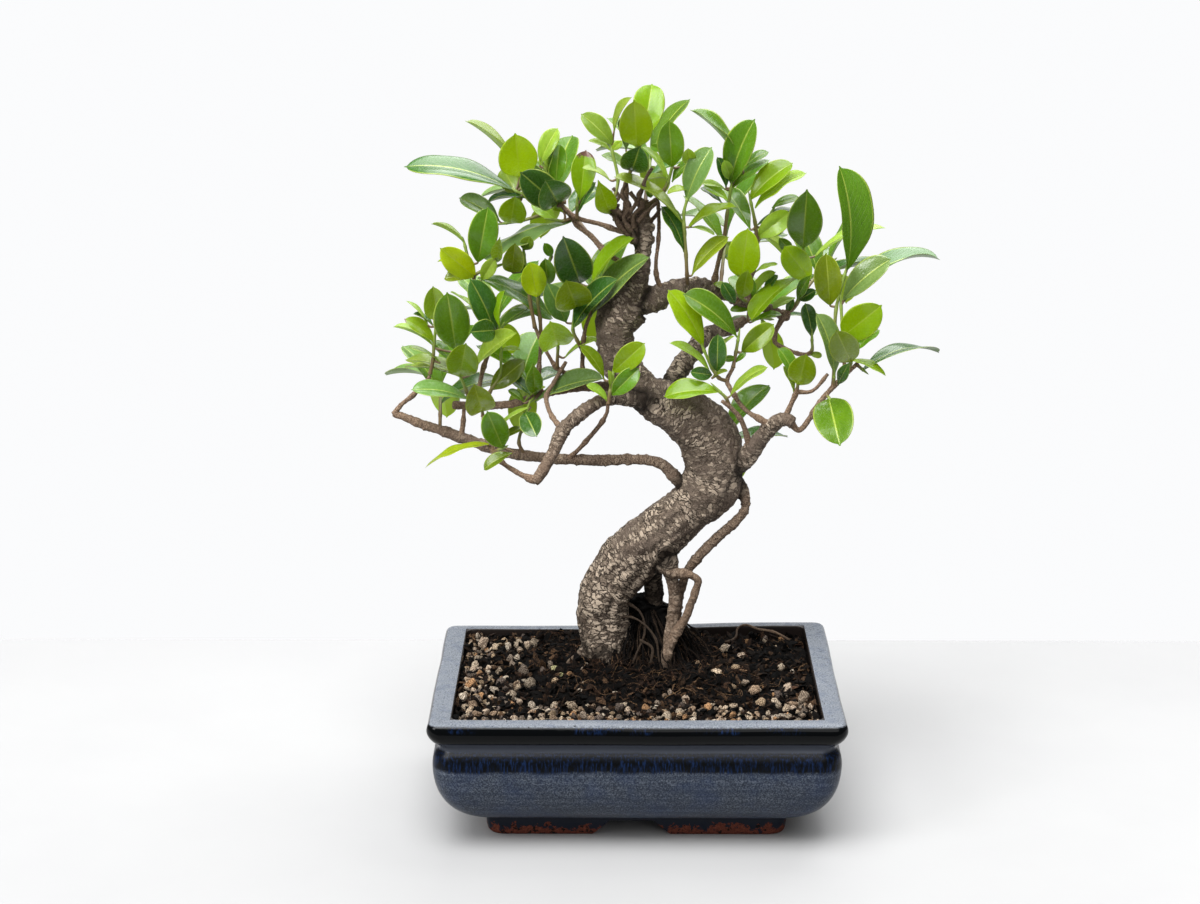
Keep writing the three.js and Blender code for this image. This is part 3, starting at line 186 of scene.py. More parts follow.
# From where on along its length a leaf is withered, for the leaf whose tip is at that column and row.
DRY_FROM = {(586, 150): 0.86, (404, 319): 0.92}
NEVER_DRY = 2.0
ACROSS = np.array([-1, -0.93, -0.78, -0.56, -0.34, -0.14, -0.04, 0, 0.04, 0.14, 0.34, 0.56, 0.78, 0.93, 1])
# The tones are partly the leaves' own colours and partly painted light: leaves in the light were given
# lighter tones, leaves in shade darker ones.
TONES = {  # the face's colour, the colour of light let through, and the share that is let through
    "D": ((60, 106, 34), (126, 166, 8), 0.18), "M": ((100, 144, 28), (168, 194, 5), 0.32),
    "G": ((116, 146, 76), (154, 178, 28), 0.25), "B": ((142, 174, 20), (202, 220, 4), 0.5),
    "Y": ((184, 200, 28), (222, 232, 10), 0.55), "O": ((122, 142, 22), (178, 192, 6), 0.4),
    "P": ((158, 186, 66), (198, 218, 34), 0.42), "W": ((190, 206, 126), (210, 224, 82), 0.42)}
REAR_LEAVES = {"count": 5, "turn": 137.5, "length": 44, "shorter": 3, "spread": 0.9, "onward": 0.55,
               "first_at": 0.45, "arch": 5, "tones": "DMBMG"}

# ---- the wood, as rows of [column, row, behind, diameter seen in pixels] ----
TRUNK_ROWS = [[
    [607, 690, 2, 62], [606, 668, 1, 58], [606, 645, 0, 51], [603, 614, 0, 54], [610, 585, 0, 54],
    [634, 556, 0, 60], [663, 530, 0, 56], [689, 508, 0, 51], [706, 490, 0, 55], [715, 465, 0, 58],
    [707, 438, 0, 59], [688, 416, 0, 57], [666, 402, 0, 50], [645, 391, 0, 40], [629, 376, 0, 38],
    [616, 356, 0, 36], [615, 328, 0, 39], [625, 307, 0, 38],
    [636, 288, 0, 27], [641, 268, 0, 18], [643, 248, 0, 17], [645, 230, 0, 16], [643, 215, 0, 14],
    [645, 199, 0, 8],
]]
LIMB_ROWS = [
    [[672, 384, 2, 22], [683, 364, 12, 20], [694, 350, 20, 19], [704, 337, 30, 17], [717, 331, 38, 15],
     [732, 328, 45, 13], [746, 318, 52, 10]],
    [[628, 306, 0, 28], [655, 299, 3, 25], [672, 290, 5, 20], [690, 286, 8, 17], [708, 288, 12, 16],
     [728, 295, 18, 14], [750, 303, 24, 12], [770, 309, 30, 11], [790, 319, 34, 9]],
    [[725, 473, -3, 28], [738, 464, -5, 24], [750, 453, -10, 20], [762, 437, -15, 17], [773, 425, -18, 16],
     [784, 419, -20, 14], [795, 423, -22, 13]],
    [[694, 492, 0, 16], [682, 484, 0, 14], [664, 466, 0, 12], [647, 460, 0, 11], [600, 460, 0, 11],
     [550, 458, 2, 11], [510, 453, 5, 11], [463, 438, 9, 12], [430, 427, 12, 10], [393, 413, 15, 8]],
    [[658, 398, -3, 28], [640, 397, -6, 24], [622, 397, -9, 18], [605, 399, -12, 14], [590, 407, -16, 14],
     [573, 420, -20, 14], [562, 432, -24, 14], [556, 445, -28, 13], [544, 469, -32, 11],
     [534, 483, -34, 11]],
    [[628, 384, 8, 14], [612, 386, 12, 12], [590, 387, 16, 9], [565, 390, 18, 8], [540, 395, 20, 8],
     [515, 403, 20, 8], [490, 406, 20, 9], [450, 405, 20, 9]],
    [[642, 246, 0, 13], [636, 238, 0, 12], [622, 222, 0, 12], [610, 205, 0, 10], [606, 195, 0, 7]],
    [[641, 246, 0, 12], [640, 235, 0, 12], [628, 215, 0, 9], [626, 200, 0, 7], [626, 179, 0, 5]],
]
ROOT_ROWS = [
    [[732, 482, 0, 17], [742, 495, -3, 12], [744, 506, -3, 10], [737, 519, -4, 11], [718, 537, -4, 11],
     [699, 556, -4, 11], [686, 574, -3, 10], [677, 612, 2, 9], [672, 645, 4, 10], [670, 680, 6, 10]],
    [[655, 560, -8, 18], [672, 572, -14, 12], [688, 574, -16, 9], [698, 580, -16, 8], [695, 592, -16, 8],
     [687, 614, -18, 9], [677, 632, -20, 10], [668, 650, -22, 11], [664, 690, -23, 10]],
    [[660, 545, -2, 26], [667, 560, -8, 21], [672, 578, -10, 14], [674, 600, -12, 12], [672, 620, -14, 12],
     [668, 642, -16, 11], [664, 680, -18, 10]],
    [[650, 560, 2, 22], [654, 595, 6, 20], [650, 630, 8, 22], [648, 680, 8, 22]],
    [[596, 640, -4, 22], [582, 656, -8, 14], [566, 668, -14, 9], [556, 686, -16, 6]],
    [[600, 640, 6, 22], [586, 648, 20, 14], [573, 652, 30, 10], [563, 662, 38, 6]],
    [[616, 640, 6, 22], [630, 648, 22, 13], [646, 650, 32, 9], [656, 662, 38, 6]],
    [[604, 650, -8, 22], [606, 672, -20, 13], [600, 692, -34, 9], [596, 708, -40, 6]],
]
THIN_ROOT_ROWS = [
    [[612, 620, -8, 4], [630, 617, -12, 2.4], [645, 625, -16, 2.2], [656, 640, -20, 2.4], [659, 660, -23, 2],
     [664, 682, -26, 1.8]],
    [[622, 600, -8, 4], [640, 612, -10, 2.4], [645, 630, -13, 2.2], [636, 655, -20, 2.4],
     [628, 674, -25, 2.2], [621, 695, -30, 2]],
    [[674, 652, -20, 3], [668, 672, -24, 2.6], [670, 694, -27, 2.2]],
    [[640, 640, -16, 3], [652, 648, -20, 3], [650, 664, -24, 2.6], [641, 680, -28, 2.4]],
]
SURFACE_ROOT_ROWS = [
    [[690, 651, 15, 3], [715, 645, 24, 2.6], [735, 638, 34, 2.6], [738, 628, 42, 2.4], [746, 625, 40, 2.4],
     [758, 629, 34, 2.6], [774, 632, 30, 2.6], [790, 640, 25, 2.6]],
]
STUB_ROWS = [
    [[630, 236, -4, 7], [618, 223, -5, 5], [615, 211, -5, 4], [606, 202, -5, 6], [611, 191, -5, 3]],
    [[632, 232, -6, 6], [624, 219, -7, 4], [629, 206, -7, 6], [622, 194, -7, 4], [627, 182, -7, 3]],
    [[634, 228, -6, 6], [634, 215, -8, 4], [643, 205, -8, 6], [638, 195, -8, 4], [646, 186, -8, 3]],
    [[628, 226, -2, 5], [616, 215, -3, 3.6], [618, 204, -3, 4.6]],
    [[638, 222, -8, 5], [647, 212, -9, 3.6], [659, 201, -9, 3.6]],
    [[650, 222, -2, 5], [657, 214, -3, 4], [660, 208, -3, 3.6]],
    [[636, 206, -9, 4], [640, 196, -9, 4], [646, 178, -9, 3.6], [652, 168, -9, 3]],
    [[622, 216, -6, 4], [612, 207, -7, 5], [619, 197, -7, 3], [613, 188, -7, 4]],
    [[630, 212, -8, 5], [636, 202, -9, 4], [630, 192, -9, 5]],
]
TWIG_ROWS = [
    [[631, 232, 0, 8], [620, 231, 1, 6], [600, 224, 2, 5], [577, 218, 3, 5], [567, 211, 4, 5],
     [560, 203, 4, 4]],
    [[641, 272, 0, 8], [622, 263, 2, 6], [604, 250, 4, 6], [590, 235, 6, 6], [578, 226, 6, 5],
     [570, 215, 6, 5], [562, 207, 5, 4]],
    [[643, 216, 0, 7], [650, 204, 1, 5], [657, 199, 2, 5], [664, 195, 3, 4]],
    [[664, 294, 4, 8], [657, 278, 2, 5], [656, 262, 1, 4], [658, 245, 1, 4], [659, 225, 2, 4],
     [658, 203, 2, 3]],
    [[713, 290, 13, 8], [717, 268, 12, 5], [720, 255, 12, 5], [724, 240, 12, 5], [725, 232, 12, 4]],
    [[747, 303, 23, 8], [750, 282, 19, 5], [755, 262, 15, 5], [757, 242, 12, 4]],
    [[784, 316, 33, 8], [776, 331, 35, 5], [775, 342, 37, 5], [786, 349, 38, 5], [800, 354, 40, 4],
     [811, 354, 40, 4]],
    [[780, 315, 33, 8], [790, 310, 32, 5], [797, 303, 31, 5], [803, 290, 30, 4]],
    [[788, 420, -20, 9], [799, 430, -20, 6], [810, 418, -18, 6], [820, 402, -16, 6], [832, 388, -14, 5],
     [845, 375, -12, 5], [858, 363, -10, 4]],
    [[784, 420, -19, 8], [792, 402, -17, 5], [796, 393, -16, 5], [797, 388, -16, 4]],
    [[772, 426, -18, 9], [758, 418, -18, 6], [748, 412, -17, 5], [740, 404, -16, 5], [735, 396, -13, 5],
     [730, 388, -11, 5], [727, 381, -9, 5], [733, 368, -8, 4]],
    [[751, 450, -10, 9], [741, 420, -16, 5], [731, 408, -18, 5], [722, 401, -20, 4]],
    [[394, 414, 15, 7], [402, 404, 14, 5], [411, 397, 14, 5], [425, 383, 12, 4], [430, 376, 11, 4]],
    [[461, 437, 9, 8], [463, 424, 9, 5], [464, 409, 10, 4]],
    [[536, 481, -34, 8], [520, 474, -32, 6], [503, 463, -28, 5], [493, 452, -25, 5], [487, 438, -20, 5],
     [484, 425, -15, 4], [483, 415, -11, 4]],
    [[566, 460, 1, 8], [576, 452, -2, 5], [588, 439, -5, 5], [602, 422, -13, 5], [607, 412, -19, 4],
     [608, 404, -21, 4]],
    [[563, 430, -24, 8], [553, 418, -18, 5], [547, 404, -8, 5], [547, 394, 2, 5], [553, 384, 8, 5],
     [560, 372, 12, 4], [566, 362, 11, 4]],
    [[590, 388, 16, 8], [575, 378, 15, 5], [557, 368, 13, 5], [550, 358, 12, 4], [543, 345, 11, 4],
     [535, 327, 8, 4]],
    [[541, 395, 20, 7], [539, 372, 17, 5], [540, 355, 15, 4], [541, 336, 12, 4]],
    [[589, 387, 16, 8], [583, 372, 14, 5], [583, 350, 11, 5], [585, 330, 8, 4], [590, 315, 6, 4]],
    [[478, 406, 20, 7], [479, 390, 18, 5], [484, 366, 15, 5], [492, 346, 13, 4], [497, 333, 12, 4],
     [488, 310, 10, 4], [479, 288, 8, 4]],
    [[795, 392, -16, 6], [812, 391, -15, 4], [828, 374, -15, 3]],
]

# ---- leafy shoots: name, stems as (column, row, behind), and leaves as (base column, base row, tip
#      column, tip row, width seen, tone, lean: -1 tip towards the front or 1 away, side seen: 1 upper
#      or -1 under, a point that an arched midrib passes) ----
SHOOTS = [
    ("top_left_tip", [[(566, 202, 4), (548, 202, 5), (530, 197, 6), (516, 191, 8)]], [
        (513, 190, 404, 167, 22, "D"), (520, 177, 515, 133, 39, "B"), (522, 180, 465, 121, 3, "P", 1),
        (556, 203, 520, 172, 34, "D"), (558, 203, 545, 180, 36, "D"), (520, 200, 503, 168, 22, "P", 1),
        (528, 198, 487, 203, 6, "D")
    ]),
    ("top_left_upright", [[(563, 203, 3), (553, 186, 0), (545, 168, -3)]], [
        (540, 165, 558, 128, 18, "P"), (556, 184, 560, 144, 19, "M"), (549, 183, 556, 146, 6, "P")
    ]),
    ("top_left_fork", [[(577, 219, 2), (577, 205, 0)]], [
        (580, 200, 586, 150, 25, "B"), (577, 215, 596, 182, 12, "D")
    ]),
    ("top_left_inner", [[(560, 205, 4), (540, 215, 6), (520, 221, 8), (506, 223, 9)]], [
        (511, 223, 515, 196, 28, "B"), (500, 222, 459, 198, 18, "G", 1)
    ]),
    ("top_left_under", [[(572, 218, 6), (563, 221, 3), (556, 220, 1)]], [
        (556, 220, 533, 200, 16, "P"), (563, 212, 545, 204, 8, "B"),
        (572, 221, 481, 259, 14, "D", -1, -1)
    ]),
    ("crown_left", [[(611, 207, 0), (613, 205, -7), (616, 192, -7), (618, 180, -6),
        (612, 150, -6)]], [
        (613, 145, 581, 114, 20, "P"), (610, 150, 588, 141, 6, "P"), (612, 150, 622, 141, 8, "P"),
        (610, 180, 582, 168, 5, "W"), (610, 214, 598, 180, 22, "B"), (614, 131, 632, 97, 8, "P")
    ]),
    ("crown_middle", [[(626, 181, 0), (631, 170, -1), (636, 150, -3)]], [
        (632, 172, 601, 155, 10, "M"), (637, 146, 634, 100, 33, "B"), (643, 140, 652, 84, 32, "B", 1),
        (626, 150, 620, 118, 12, "G"), (632, 171, 640, 146, 29, "D")
    ]),
    ("crown_right", [[(657, 200, 2), (664, 190, 2), (668, 182, 1), (672, 168, 0)]], [
        (668, 184, 641, 147, 5, "P"), (672, 167, 669, 120, 27, "M"), (665, 150, 650, 146, 8, "M"),
        (672, 182, 692, 160, 10, "M"), (690, 165, 688, 148, 14, "P"), (668, 178, 646, 180, 4, "P"),
        (648, 185, 651, 198, 8, "M")
    ]),
    ("upright_right", [[(688, 287, 6), (687, 275, -2), (686, 255, -4), (684, 225, -5),
        (684, 212, -5), (687, 200, -5)]], [
        (687, 200, 712, 147, 24, "G"), (682, 222, 614, 177, 10, "P"), (690, 190, 667, 194, 6, "P"),
        (684, 252, 661, 206, 17, "D"), (688, 228, 737, 207, 9, "B"), (692, 275, 729, 237, 16, "O"),
        (692, 227, 715, 235, 5, "P")
    ]),
    ("inner_right", [[(727, 381, -9), (719, 378, -11), (712, 368, -12), (704, 350, -13)]], [
        (703, 346, 668, 290, 26, "B"), (710, 372, 669, 343, 8, "P"), (717, 371, 718, 334, 19, "D"),
        (712, 360, 735, 336, 4, "P"), (712, 375, 690, 372, 14, "D"), (712, 378, 728, 371, 4, "P")
    ]),
    ("inner_right_upper", [[(733, 368, -8), (736, 352, -6), (738, 340, -5)]], [
        (737, 337, 683, 294, 24, "M"), (736, 358, 723, 359, 7, "M"), (736, 362, 746, 353, 6, "M"),
        (742, 352, 774, 324, 22, "O"), (742, 352, 772, 330, 10, "D")
    ]),
    ("before_trunk", [[(730, 407, -17), (726, 398, -19), (720, 392, -20)]], [
        (720, 392, 664, 397, 19, "B"), (730, 396, 768, 367, 10, "P")
    ]),
    ("top_right", [[(724, 240, 12), (727, 215, 10), (731, 188, 8)]], [
        (743, 170, 690, 110, 9, "M"), (731, 184, 755, 119, 28, "M"), (743, 168, 769, 152, 9, "M"),
        (731, 189, 770, 160, 12, "M"), (726, 187, 717, 157, 12, "D"), (731, 180, 724, 160, 12, "P"),
        (725, 189, 700, 184, 6, "P"), (728, 200, 703, 186, 10, "P"), (722, 203, 700, 188, 6, "D")
    ]),
    ("upper_right", [[(757, 241, 12), (755, 222, 8), (751, 203, 4)]], [
        (750, 200, 793, 163, 22, "B"), (755, 208, 807, 173, 14, "B"), (750, 229, 724, 189, 20, "M")
    ]),
    ("upper_right_fork", [[(757, 243, 12), (763, 230, 14), (772, 212, 16)]], [
        (757, 225, 800, 212, 9, "D"), (758, 237, 790, 212, 22, "P"), (772, 208, 800, 198, 9, "M"),
        (757, 240, 784, 232, 8, "P")
    ]),
    ("mid_right", [[(750, 284, 19), (744, 280, 11), (741, 277, 7)]], [
        (741, 278, 748, 228, 33, "B"), (755, 272, 778, 264, 5, "P")
    ]),
    ("far_right_top", [[(803, 290, 30), (805, 272, 28), (804, 250, 26)]], [
        (803, 248, 807, 189, 36, "M"), (797, 275, 750, 229, 9, "P"), (810, 280, 784, 246, 28, "B"),
        (790, 250, 779, 238, 12, "M"), (815, 256, 886, 228, 9, "P", 1)
    ]),
    ("right_tall", [[(833, 388, -14), (835, 350, -10), (836, 310, -6), (845, 274, -4)]], [
        (847, 270, 839, 166, 34, "M"), (830, 305, 826, 253, 28, "O")
    ]),
    ("right_reach", [[(845, 376, -13), (843, 340, -9), (841, 305, -6)]], [
        (843, 300, 891, 259, 26, "G"), (845, 300, 940, 260, 12, "D", -1, 1, (895, 262)),
        (842, 337, 882, 305, 34, "B")
    ]),
    ("right_low", [[(834, 387, -14), (834, 377, -16)]], [
        (834, 376, 816, 313, 21, "G"), (838, 385, 850, 362, 12, "D")
    ]),
    ("right_fork", [[(848, 373, -12), (851, 363, -12)]], [
        (851, 362, 836, 330, 30, "O"), (850, 360, 886, 376, 8, "B"), (855, 352, 880, 330, 12, "M")
    ]),
    ("right_end", [[(856, 364, -10), (862, 369, -10)]], [
        (862, 371, 939, 353, 11, "D", -1, 1, (903, 349))
    ]),
    ("right_hanging", [[(826, 394, -15), (829, 398, -18)]], [
        (829, 399, 840, 446, 40, "M")
    ]),
    ("right_under", [[(797, 392, -16), (798, 383, -17)]], [
        (796, 382, 778, 348, 14, "M"), (799, 385, 806, 354, 28, "B"), (794, 392, 783, 366, 7, "P")
    ]),
    ("right_inner", [[(808, 354, 40), (812, 350, 38), (812, 340, 36)]], [
        (812, 338, 805, 303, 16, "D"), (808, 353, 822, 356, 7, "P")
    ]),
    ("right_fan", [[(793, 308, 32), (797, 303, 29), (800, 290, 27)]], [
        (799, 277, 751, 321, 17, "B"), (795, 298, 772, 308, 9, "W"), (787, 312, 793, 298, 8, "D"),
        (797, 300, 811, 275, 12, "M"), (795, 303, 834, 292, 5, "P"), (799, 300, 816, 290, 12, "D")
    ]),
    ("mid_right_fan", [[(750, 303, 24), (745, 301, 15), (741, 298, 9)]], [
        (735, 303, 722, 282, 14, "D"), (742, 298, 748, 270, 18, "B"), (750, 300, 752, 278, 12, "M"),
        (733, 295, 713, 284, 6, "P"), (750, 310, 730, 310, 8, "M"), (752, 298, 776, 272, 9, "P"),
        (765, 292, 778, 275, 9, "D"), (752, 322, 782, 315, 7, "M")
    ]),
    ("mid_left_top", [[(590, 316, 6), (592, 300, 4), (592, 288, 2)]], [
        (580, 283, 563, 236, 38, "D"), (592, 284, 634, 238, 16, "B"), (590, 317, 650, 257, 24, "G")
    ]),
    ("mid_left_fork", [[(583, 352, 11), (577, 340, 8), (573, 330, 6), (575, 312, 4)]], [
        (576, 307, 566, 280, 38, "O"), (572, 330, 618, 279, 22, "D"), (566, 322, 547, 283, 24, "G")
    ]),
    ("mid_left_low", [[(557, 367, 12), (558, 347, 8)]], [
        (558, 345, 550, 321, 36, "P"), (565, 357, 600, 339, 5, "P")
    ]),
    ("left_upright", [[(541, 336, 12), (540, 318, 10), (538, 300, 8), (544, 280, 6),
        (549, 262, 5)]], [
        (537, 297, 530, 262, 26, "Y"), (548, 285, 545, 258, 18, "M"), (552, 256, 544, 243, 10, "M")
    ]),
    ("left_upright_fork", [[(535, 328, 8), (530, 300, 6), (526, 270, 4), (524, 254, 3)]], [
        (528, 272, 516, 264, 8, "D"), (512, 272, 515, 243, 22, "O"), (524, 250, 530, 236, 14, "P")
    ]),
    ("left_top", [[(479, 290, 8), (474, 277, 6), (484, 270, 4), (497, 266, 4)], [(474, 277, 6),
        (468, 258, 6), (465, 246, 6)]], [
        (478, 262, 488, 207, 30, "M"), (465, 243, 431, 224, 3, "P"), (475, 277, 440, 248, 26, "Y"),
        (460, 262, 437, 262, 4, "Y"), (463, 270, 447, 273, 4, "P"), (470, 277, 444, 279, 11, "O"),
        (478, 278, 553, 319, 20, "M"), (482, 280, 495, 258, 15, "P"), (497, 262, 500, 237, 12, "P")
    ]),
    ("left_middle", [[(497, 335, 12), (500, 331, 6), (502, 327, 2)]], [
        (495, 334, 470, 279, 27, "D"), (493, 332, 450, 292, 8, "P"), (496, 330, 470, 332, 24, "D"),
        (497, 333, 535, 306, 10, "M"), (500, 328, 505, 290, 8, "B")
    ]),
    ("far_left", [[(430, 374, 11), (433, 360, 10), (434, 345, 9), (436, 325, 8)]], [
        (437, 320, 433, 286, 24, "P"), (456, 350, 447, 292, 37, "M"), (435, 343, 404, 319, 14, "B"),
        (433, 345, 393, 327, 4, "P"), (428, 325, 406, 301, 4, "P"), (433, 325, 413, 314, 4, "D"),
        (440, 362, 408, 347, 4, "P")
    ]),
    ("left_low", [[(470, 403, 19), (466, 390, 16), (461, 378, 13)]], [
        (460, 376, 466, 343, 33, "B"), (460, 375, 405, 360, 12, "P"), (463, 378, 405, 368, 10, "P"),
        (472, 373, 517, 333, 14, "P"), (452, 362, 431, 341, 12, "M")
    ]),
    ("left_low_spur", [[(464, 409, 10), (468, 403, 8)]], [
        (470, 400, 411, 390, 16, "G")
    ]),
    ("left_front_spur", [[(483, 416, -11), (482, 410, -13)]], [
        (482, 411, 474, 384, 30, "O")
    ]),
    ("left_inner", [[(487, 404, 19), (490, 392, 16), (500, 375, 14), (501, 355, 12)]], [
        (500, 351, 521, 350, 5, "P"), (490, 390, 525, 360, 22, "O")
    ]),
    ("left_front", [[(493, 452, -25), (499, 450, -30), (503, 448, -35)]], [
        (503, 448, 487, 411, 27, "M"), (489, 444, 425, 468, 8, "Y"), (512, 453, 484, 470, 12, "O")
    ]),
    ("left_hanging", [[(525, 455, 3), (519, 443, 0), (522, 428, -2), (527, 411, -4)]], [
        (530, 407, 491, 437, 5, "P"), (525, 428, 505, 437, 8, "O"), (525, 412, 537, 437, 23, "D")
    ]),
    ("left_limb_fan", [[(536, 396, 19), (533, 399, 14)]], [
        (530, 395, 505, 375, 12, "D"), (535, 395, 533, 363, 18, "M"), (535, 402, 604, 379, 18, "G"),
        (524, 402, 508, 390, 8, "M"), (524, 402, 546, 387, 3, "P")
    ]),
    ("inner_left", [[(608, 404, -21), (610, 392, -21), (613, 374, -19)]], [
        (604, 379, 580, 346, 12, "B"), (613, 372, 645, 343, 24, "B"), (612, 395, 639, 368, 20, "M"),
        (610, 390, 608, 370, 6, "P"), (608, 402, 586, 385, 8, "P")
    ]),
]
# Shoots on the far side: root column, root row, root behind, reach to the right, reach up, reach back.
REAR_SHOOTS = {
    "rear_top": (645, 205, 0, 4, 22, 46), "rear_top_left": (590, 236, 5, -26, 18, 44),
    "rear_left": (486, 352, 14, 6, 14, 40), "rear_left_low": (545, 394, 20, -18, -4, 46),
    "rear_far_left": (440, 430, 11, -2, 20, 44), "rear_middle": (616, 326, 0, -14, 8, 58),
    "rear_right": (720, 292, 15, 6, 30, 50), "rear_right_low": (735, 327, 45, 24, -4, 44),
    "rear_far_right": (797, 303, 31, 24, 18, 40), "rear_low": (716, 462, 0, 10, 2, 58),
}


# ---- meshes ----
class Pile:
    """Closed skins gathered into one mesh, with named values at each point."""

    def __init__(self, **usual):
        self.usual = usual
        self.points, self.quads, self.tris = [], [], []
        self.quad_looks, self.tri_looks = [], []
        self.values = {name: [] for name in usual}
        self.count = 0

    def add(self, points, quads, tris, look=0, **values):
        """Adds one skin: points (n, 3), faces as point numbers, and for each name a value or n values."""
        n = len(points)
        for name, usual in self.usual.items():
            shape = (n,) + np.shape(usual)
            self.values[name].append(np.broadcast_to(np.asarray(values.get(name, usual), float), shape))
        self.points.append(points)
        self.quads.append(np.asarray(quads, int).reshape(-1, 4) + self.count)
        self.tris.append(np.asarray(tris, int).reshape(-1, 3) + self.count)
        self.quad_looks.append(np.full(len(self.quads[-1]), look))
        self.tri_looks.append(np.full(len(self.tris[-1]), look))
        self.count += n

    def loft(self, rings, look=0, **values):
        """A skin over rings (r, k, 3) of points, closed at both ends. A value is one for all, or (r, k)."""
        r, k = rings.shape[:2]
        ends = np.stack([rings[0].mean(0), rings[-1].mean(0)])
        points = np.concatenate([rings.reshape(-1, 3), ends])
        i, j = np.meshgrid(np.arange(r - 1), np.arange(k), indexing="ij")
        a = (i * k + j).ravel()
        b = (i * k + (j + 1) % k).ravel()
        quads = np.stack([a, b, b + k, a + k], 1)
        j = np.arange(k)
        first = np.stack([(j + 1) % k, j, np.full(k, r * k)], 1)
        last = np.stack([(r - 1) * k + j, (r - 1) * k + (j + 1) % k, np.full(k, r * k + 1)], 1)
        spread = {}
        for name, value in values.items():
            value = np.asarray(value, float)
            if value.ndim >= 2:
                tail = np.stack([value[0].mean(0), value[-1].mean(0)])
                value = np.concatenate([value.reshape((r * k,) + value.shape[2:]), tail])
            spread[name] = value
        self.add(points, quads, np.concatenate([first, last]), look, **spread)

    def mesh(self, name):
        return bare_mesh(name, *(np.concatenate(part) for part in (self.points, self.quads, self.tris)))

    def piece(self, name, looks, slot, replaces=(), crease=None):
        """The pile as one smooth object that rides on the whole tree."""
        mesh = self.mesh(name)
        for key, parts in self.values.items():
            keep_values(mesh, key, np.concatenate(parts))
        for look in looks:
            mesh.materials.append(look)
        if len(looks) > 1:
            look_of = np.concatenate(self.quad_looks + self.tri_looks)
            mesh.polygons.foreach_set("material_index", look_of.astype(np.int32))
        mesh.shade_smooth()
        if crease is not None:
            mesh.set_sharp_from_angle(angle=math.radians(crease))
        piece = linked(name, mesh)
        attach(piece, "root")
        if replaces:
            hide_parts(*replaces)
        return piece


def linked(name, data):
    """A new object of the scene."""
    made = bpy.data.objects.new(name, data)
    bpy.context.scene.collection.objects.link(made)
    return made


def bare_mesh(name, points, quads, tris):
    """A mesh in metres, in the shared frame, from points in millimetres."""
    mesh = bpy.data.meshes.new(name)
    corners = np.concatenate([quads.ravel(), tris.ravel()]).astype(np.int32)
    totals = np.concatenate([np.full(len(quads), 4), np.full(len(tris), 3)])
    starts = np.concatenate([[0], np.cumsum(totals)[:-1]]).astype(np.int32)
    mesh.vertices.add(len(points))
    mesh.vertices.foreach_set("co", (points * MM + CENTRE).astype(np.float32).ravel())
    mesh.loops.add(len(corners))
    mesh.loops.foreach_set("vertex_index", corners)
    mesh.polygons.add(len(totals))
    mesh.polygons.foreach_set("loop_start", starts)
    mesh.update(calc_edges=True)
    return mesh


def keep_values(mesh, name, values):
    """Keeps a number or a vector for each point of a mesh, for its material."""
    kind, field = ("FLOAT", "value") if values.ndim == 1 else ("FLOAT_VECTOR", "vector")
    attribute = mesh.attributes.new(name, kind, "POINT")
    attribute.data.foreach_set(field, np.ascontiguousarray(values, np.float32).ravel())


def apply_modifiers(piece):
    """Replaces a piece's mesh by what its modifiers make of it."""
    evaluated = piece.evaluated_get(bpy.context.evaluated_depsgraph_get())
    made = bpy.data.meshes.new_from_object(evaluated)
    piece.modifiers.clear()
    piece.data = made


# ---- numbers ----
def seeded(seed):
    """A source of repeatable numbers from 0 to 1 (the Lehmer generator)."""
    multiplier, modulus = 16807, 2147483647
    state = seed

    def draw():
        nonlocal state
        state = state * multiplier % modulus
        return state / modulus
    return draw


def hashed(cells, seed):
    """A repeatable 24-bit number for each whole-number cell (n, 3)."""
    cells = cells.astype(np.int64).astype(np.uint64)
    mask = np.uint64(0xFFFFFFFF)
    h = (cells[:, 0] * np.uint64(374761393) + cells[:, 1] * np.uint64(668265263)
         + cells[:, 2] * np.uint64(2246822519) + np.uint64(seed * 97 + 13)) & mask
    h = ((h ^ (h >> np.uint64(13))) * np.uint64(1274126177)) & mask
    h = ((h ^ (h >> np.uint64(15))) * np.uint64(2654435761)) & mask
    return h >> np.uint64(8)


def noise(points, size, seed=0):
    """Smooth noise from about -1 to 1, whose lumps are `size` across. size may be one for each axis."""
    place = np.asarray(points, float) / np.asarray(size, float) + 1000.0
    cell = np.floor(place)
    inside = place - cell
    ease = inside ** 3 * (inside * (inside * 6 - 15) + 10)
    total = np.zeros(len(place))
    for corner in itertools.product((0, 1), repeat=3):
        h = hashed(cell + corner, seed)
        slope = np.stack([(h >> np.uint64(shift)) & np.uint64(255) for shift in (0, 8, 16)], 1) / 127.5 - 1
        share = np.prod(np.where(corner, ease, 1 - ease), axis=1)
        total += share * np.sum(slope * (inside - corner), axis=1)
    return total * 1.5


def turbulence(points, size, octaves, seed=0):
    """Noise with finer and weaker noise added to it."""
    size = np.asarray(size, float)
    return sum(noise(points, size / 2 ** i, seed + i) / 2 ** i for i in range(octaves))


def smoothstep(low, high, value):
    t = np.clip((np.asarray(value, float) - low) / (high - low), 0, 1)
    return t * t * (3 - 2 * t)


def unit(v):
    return v / np.maximum(np.linalg.norm(v, axis=-1, keepdims=True), 1e-9)


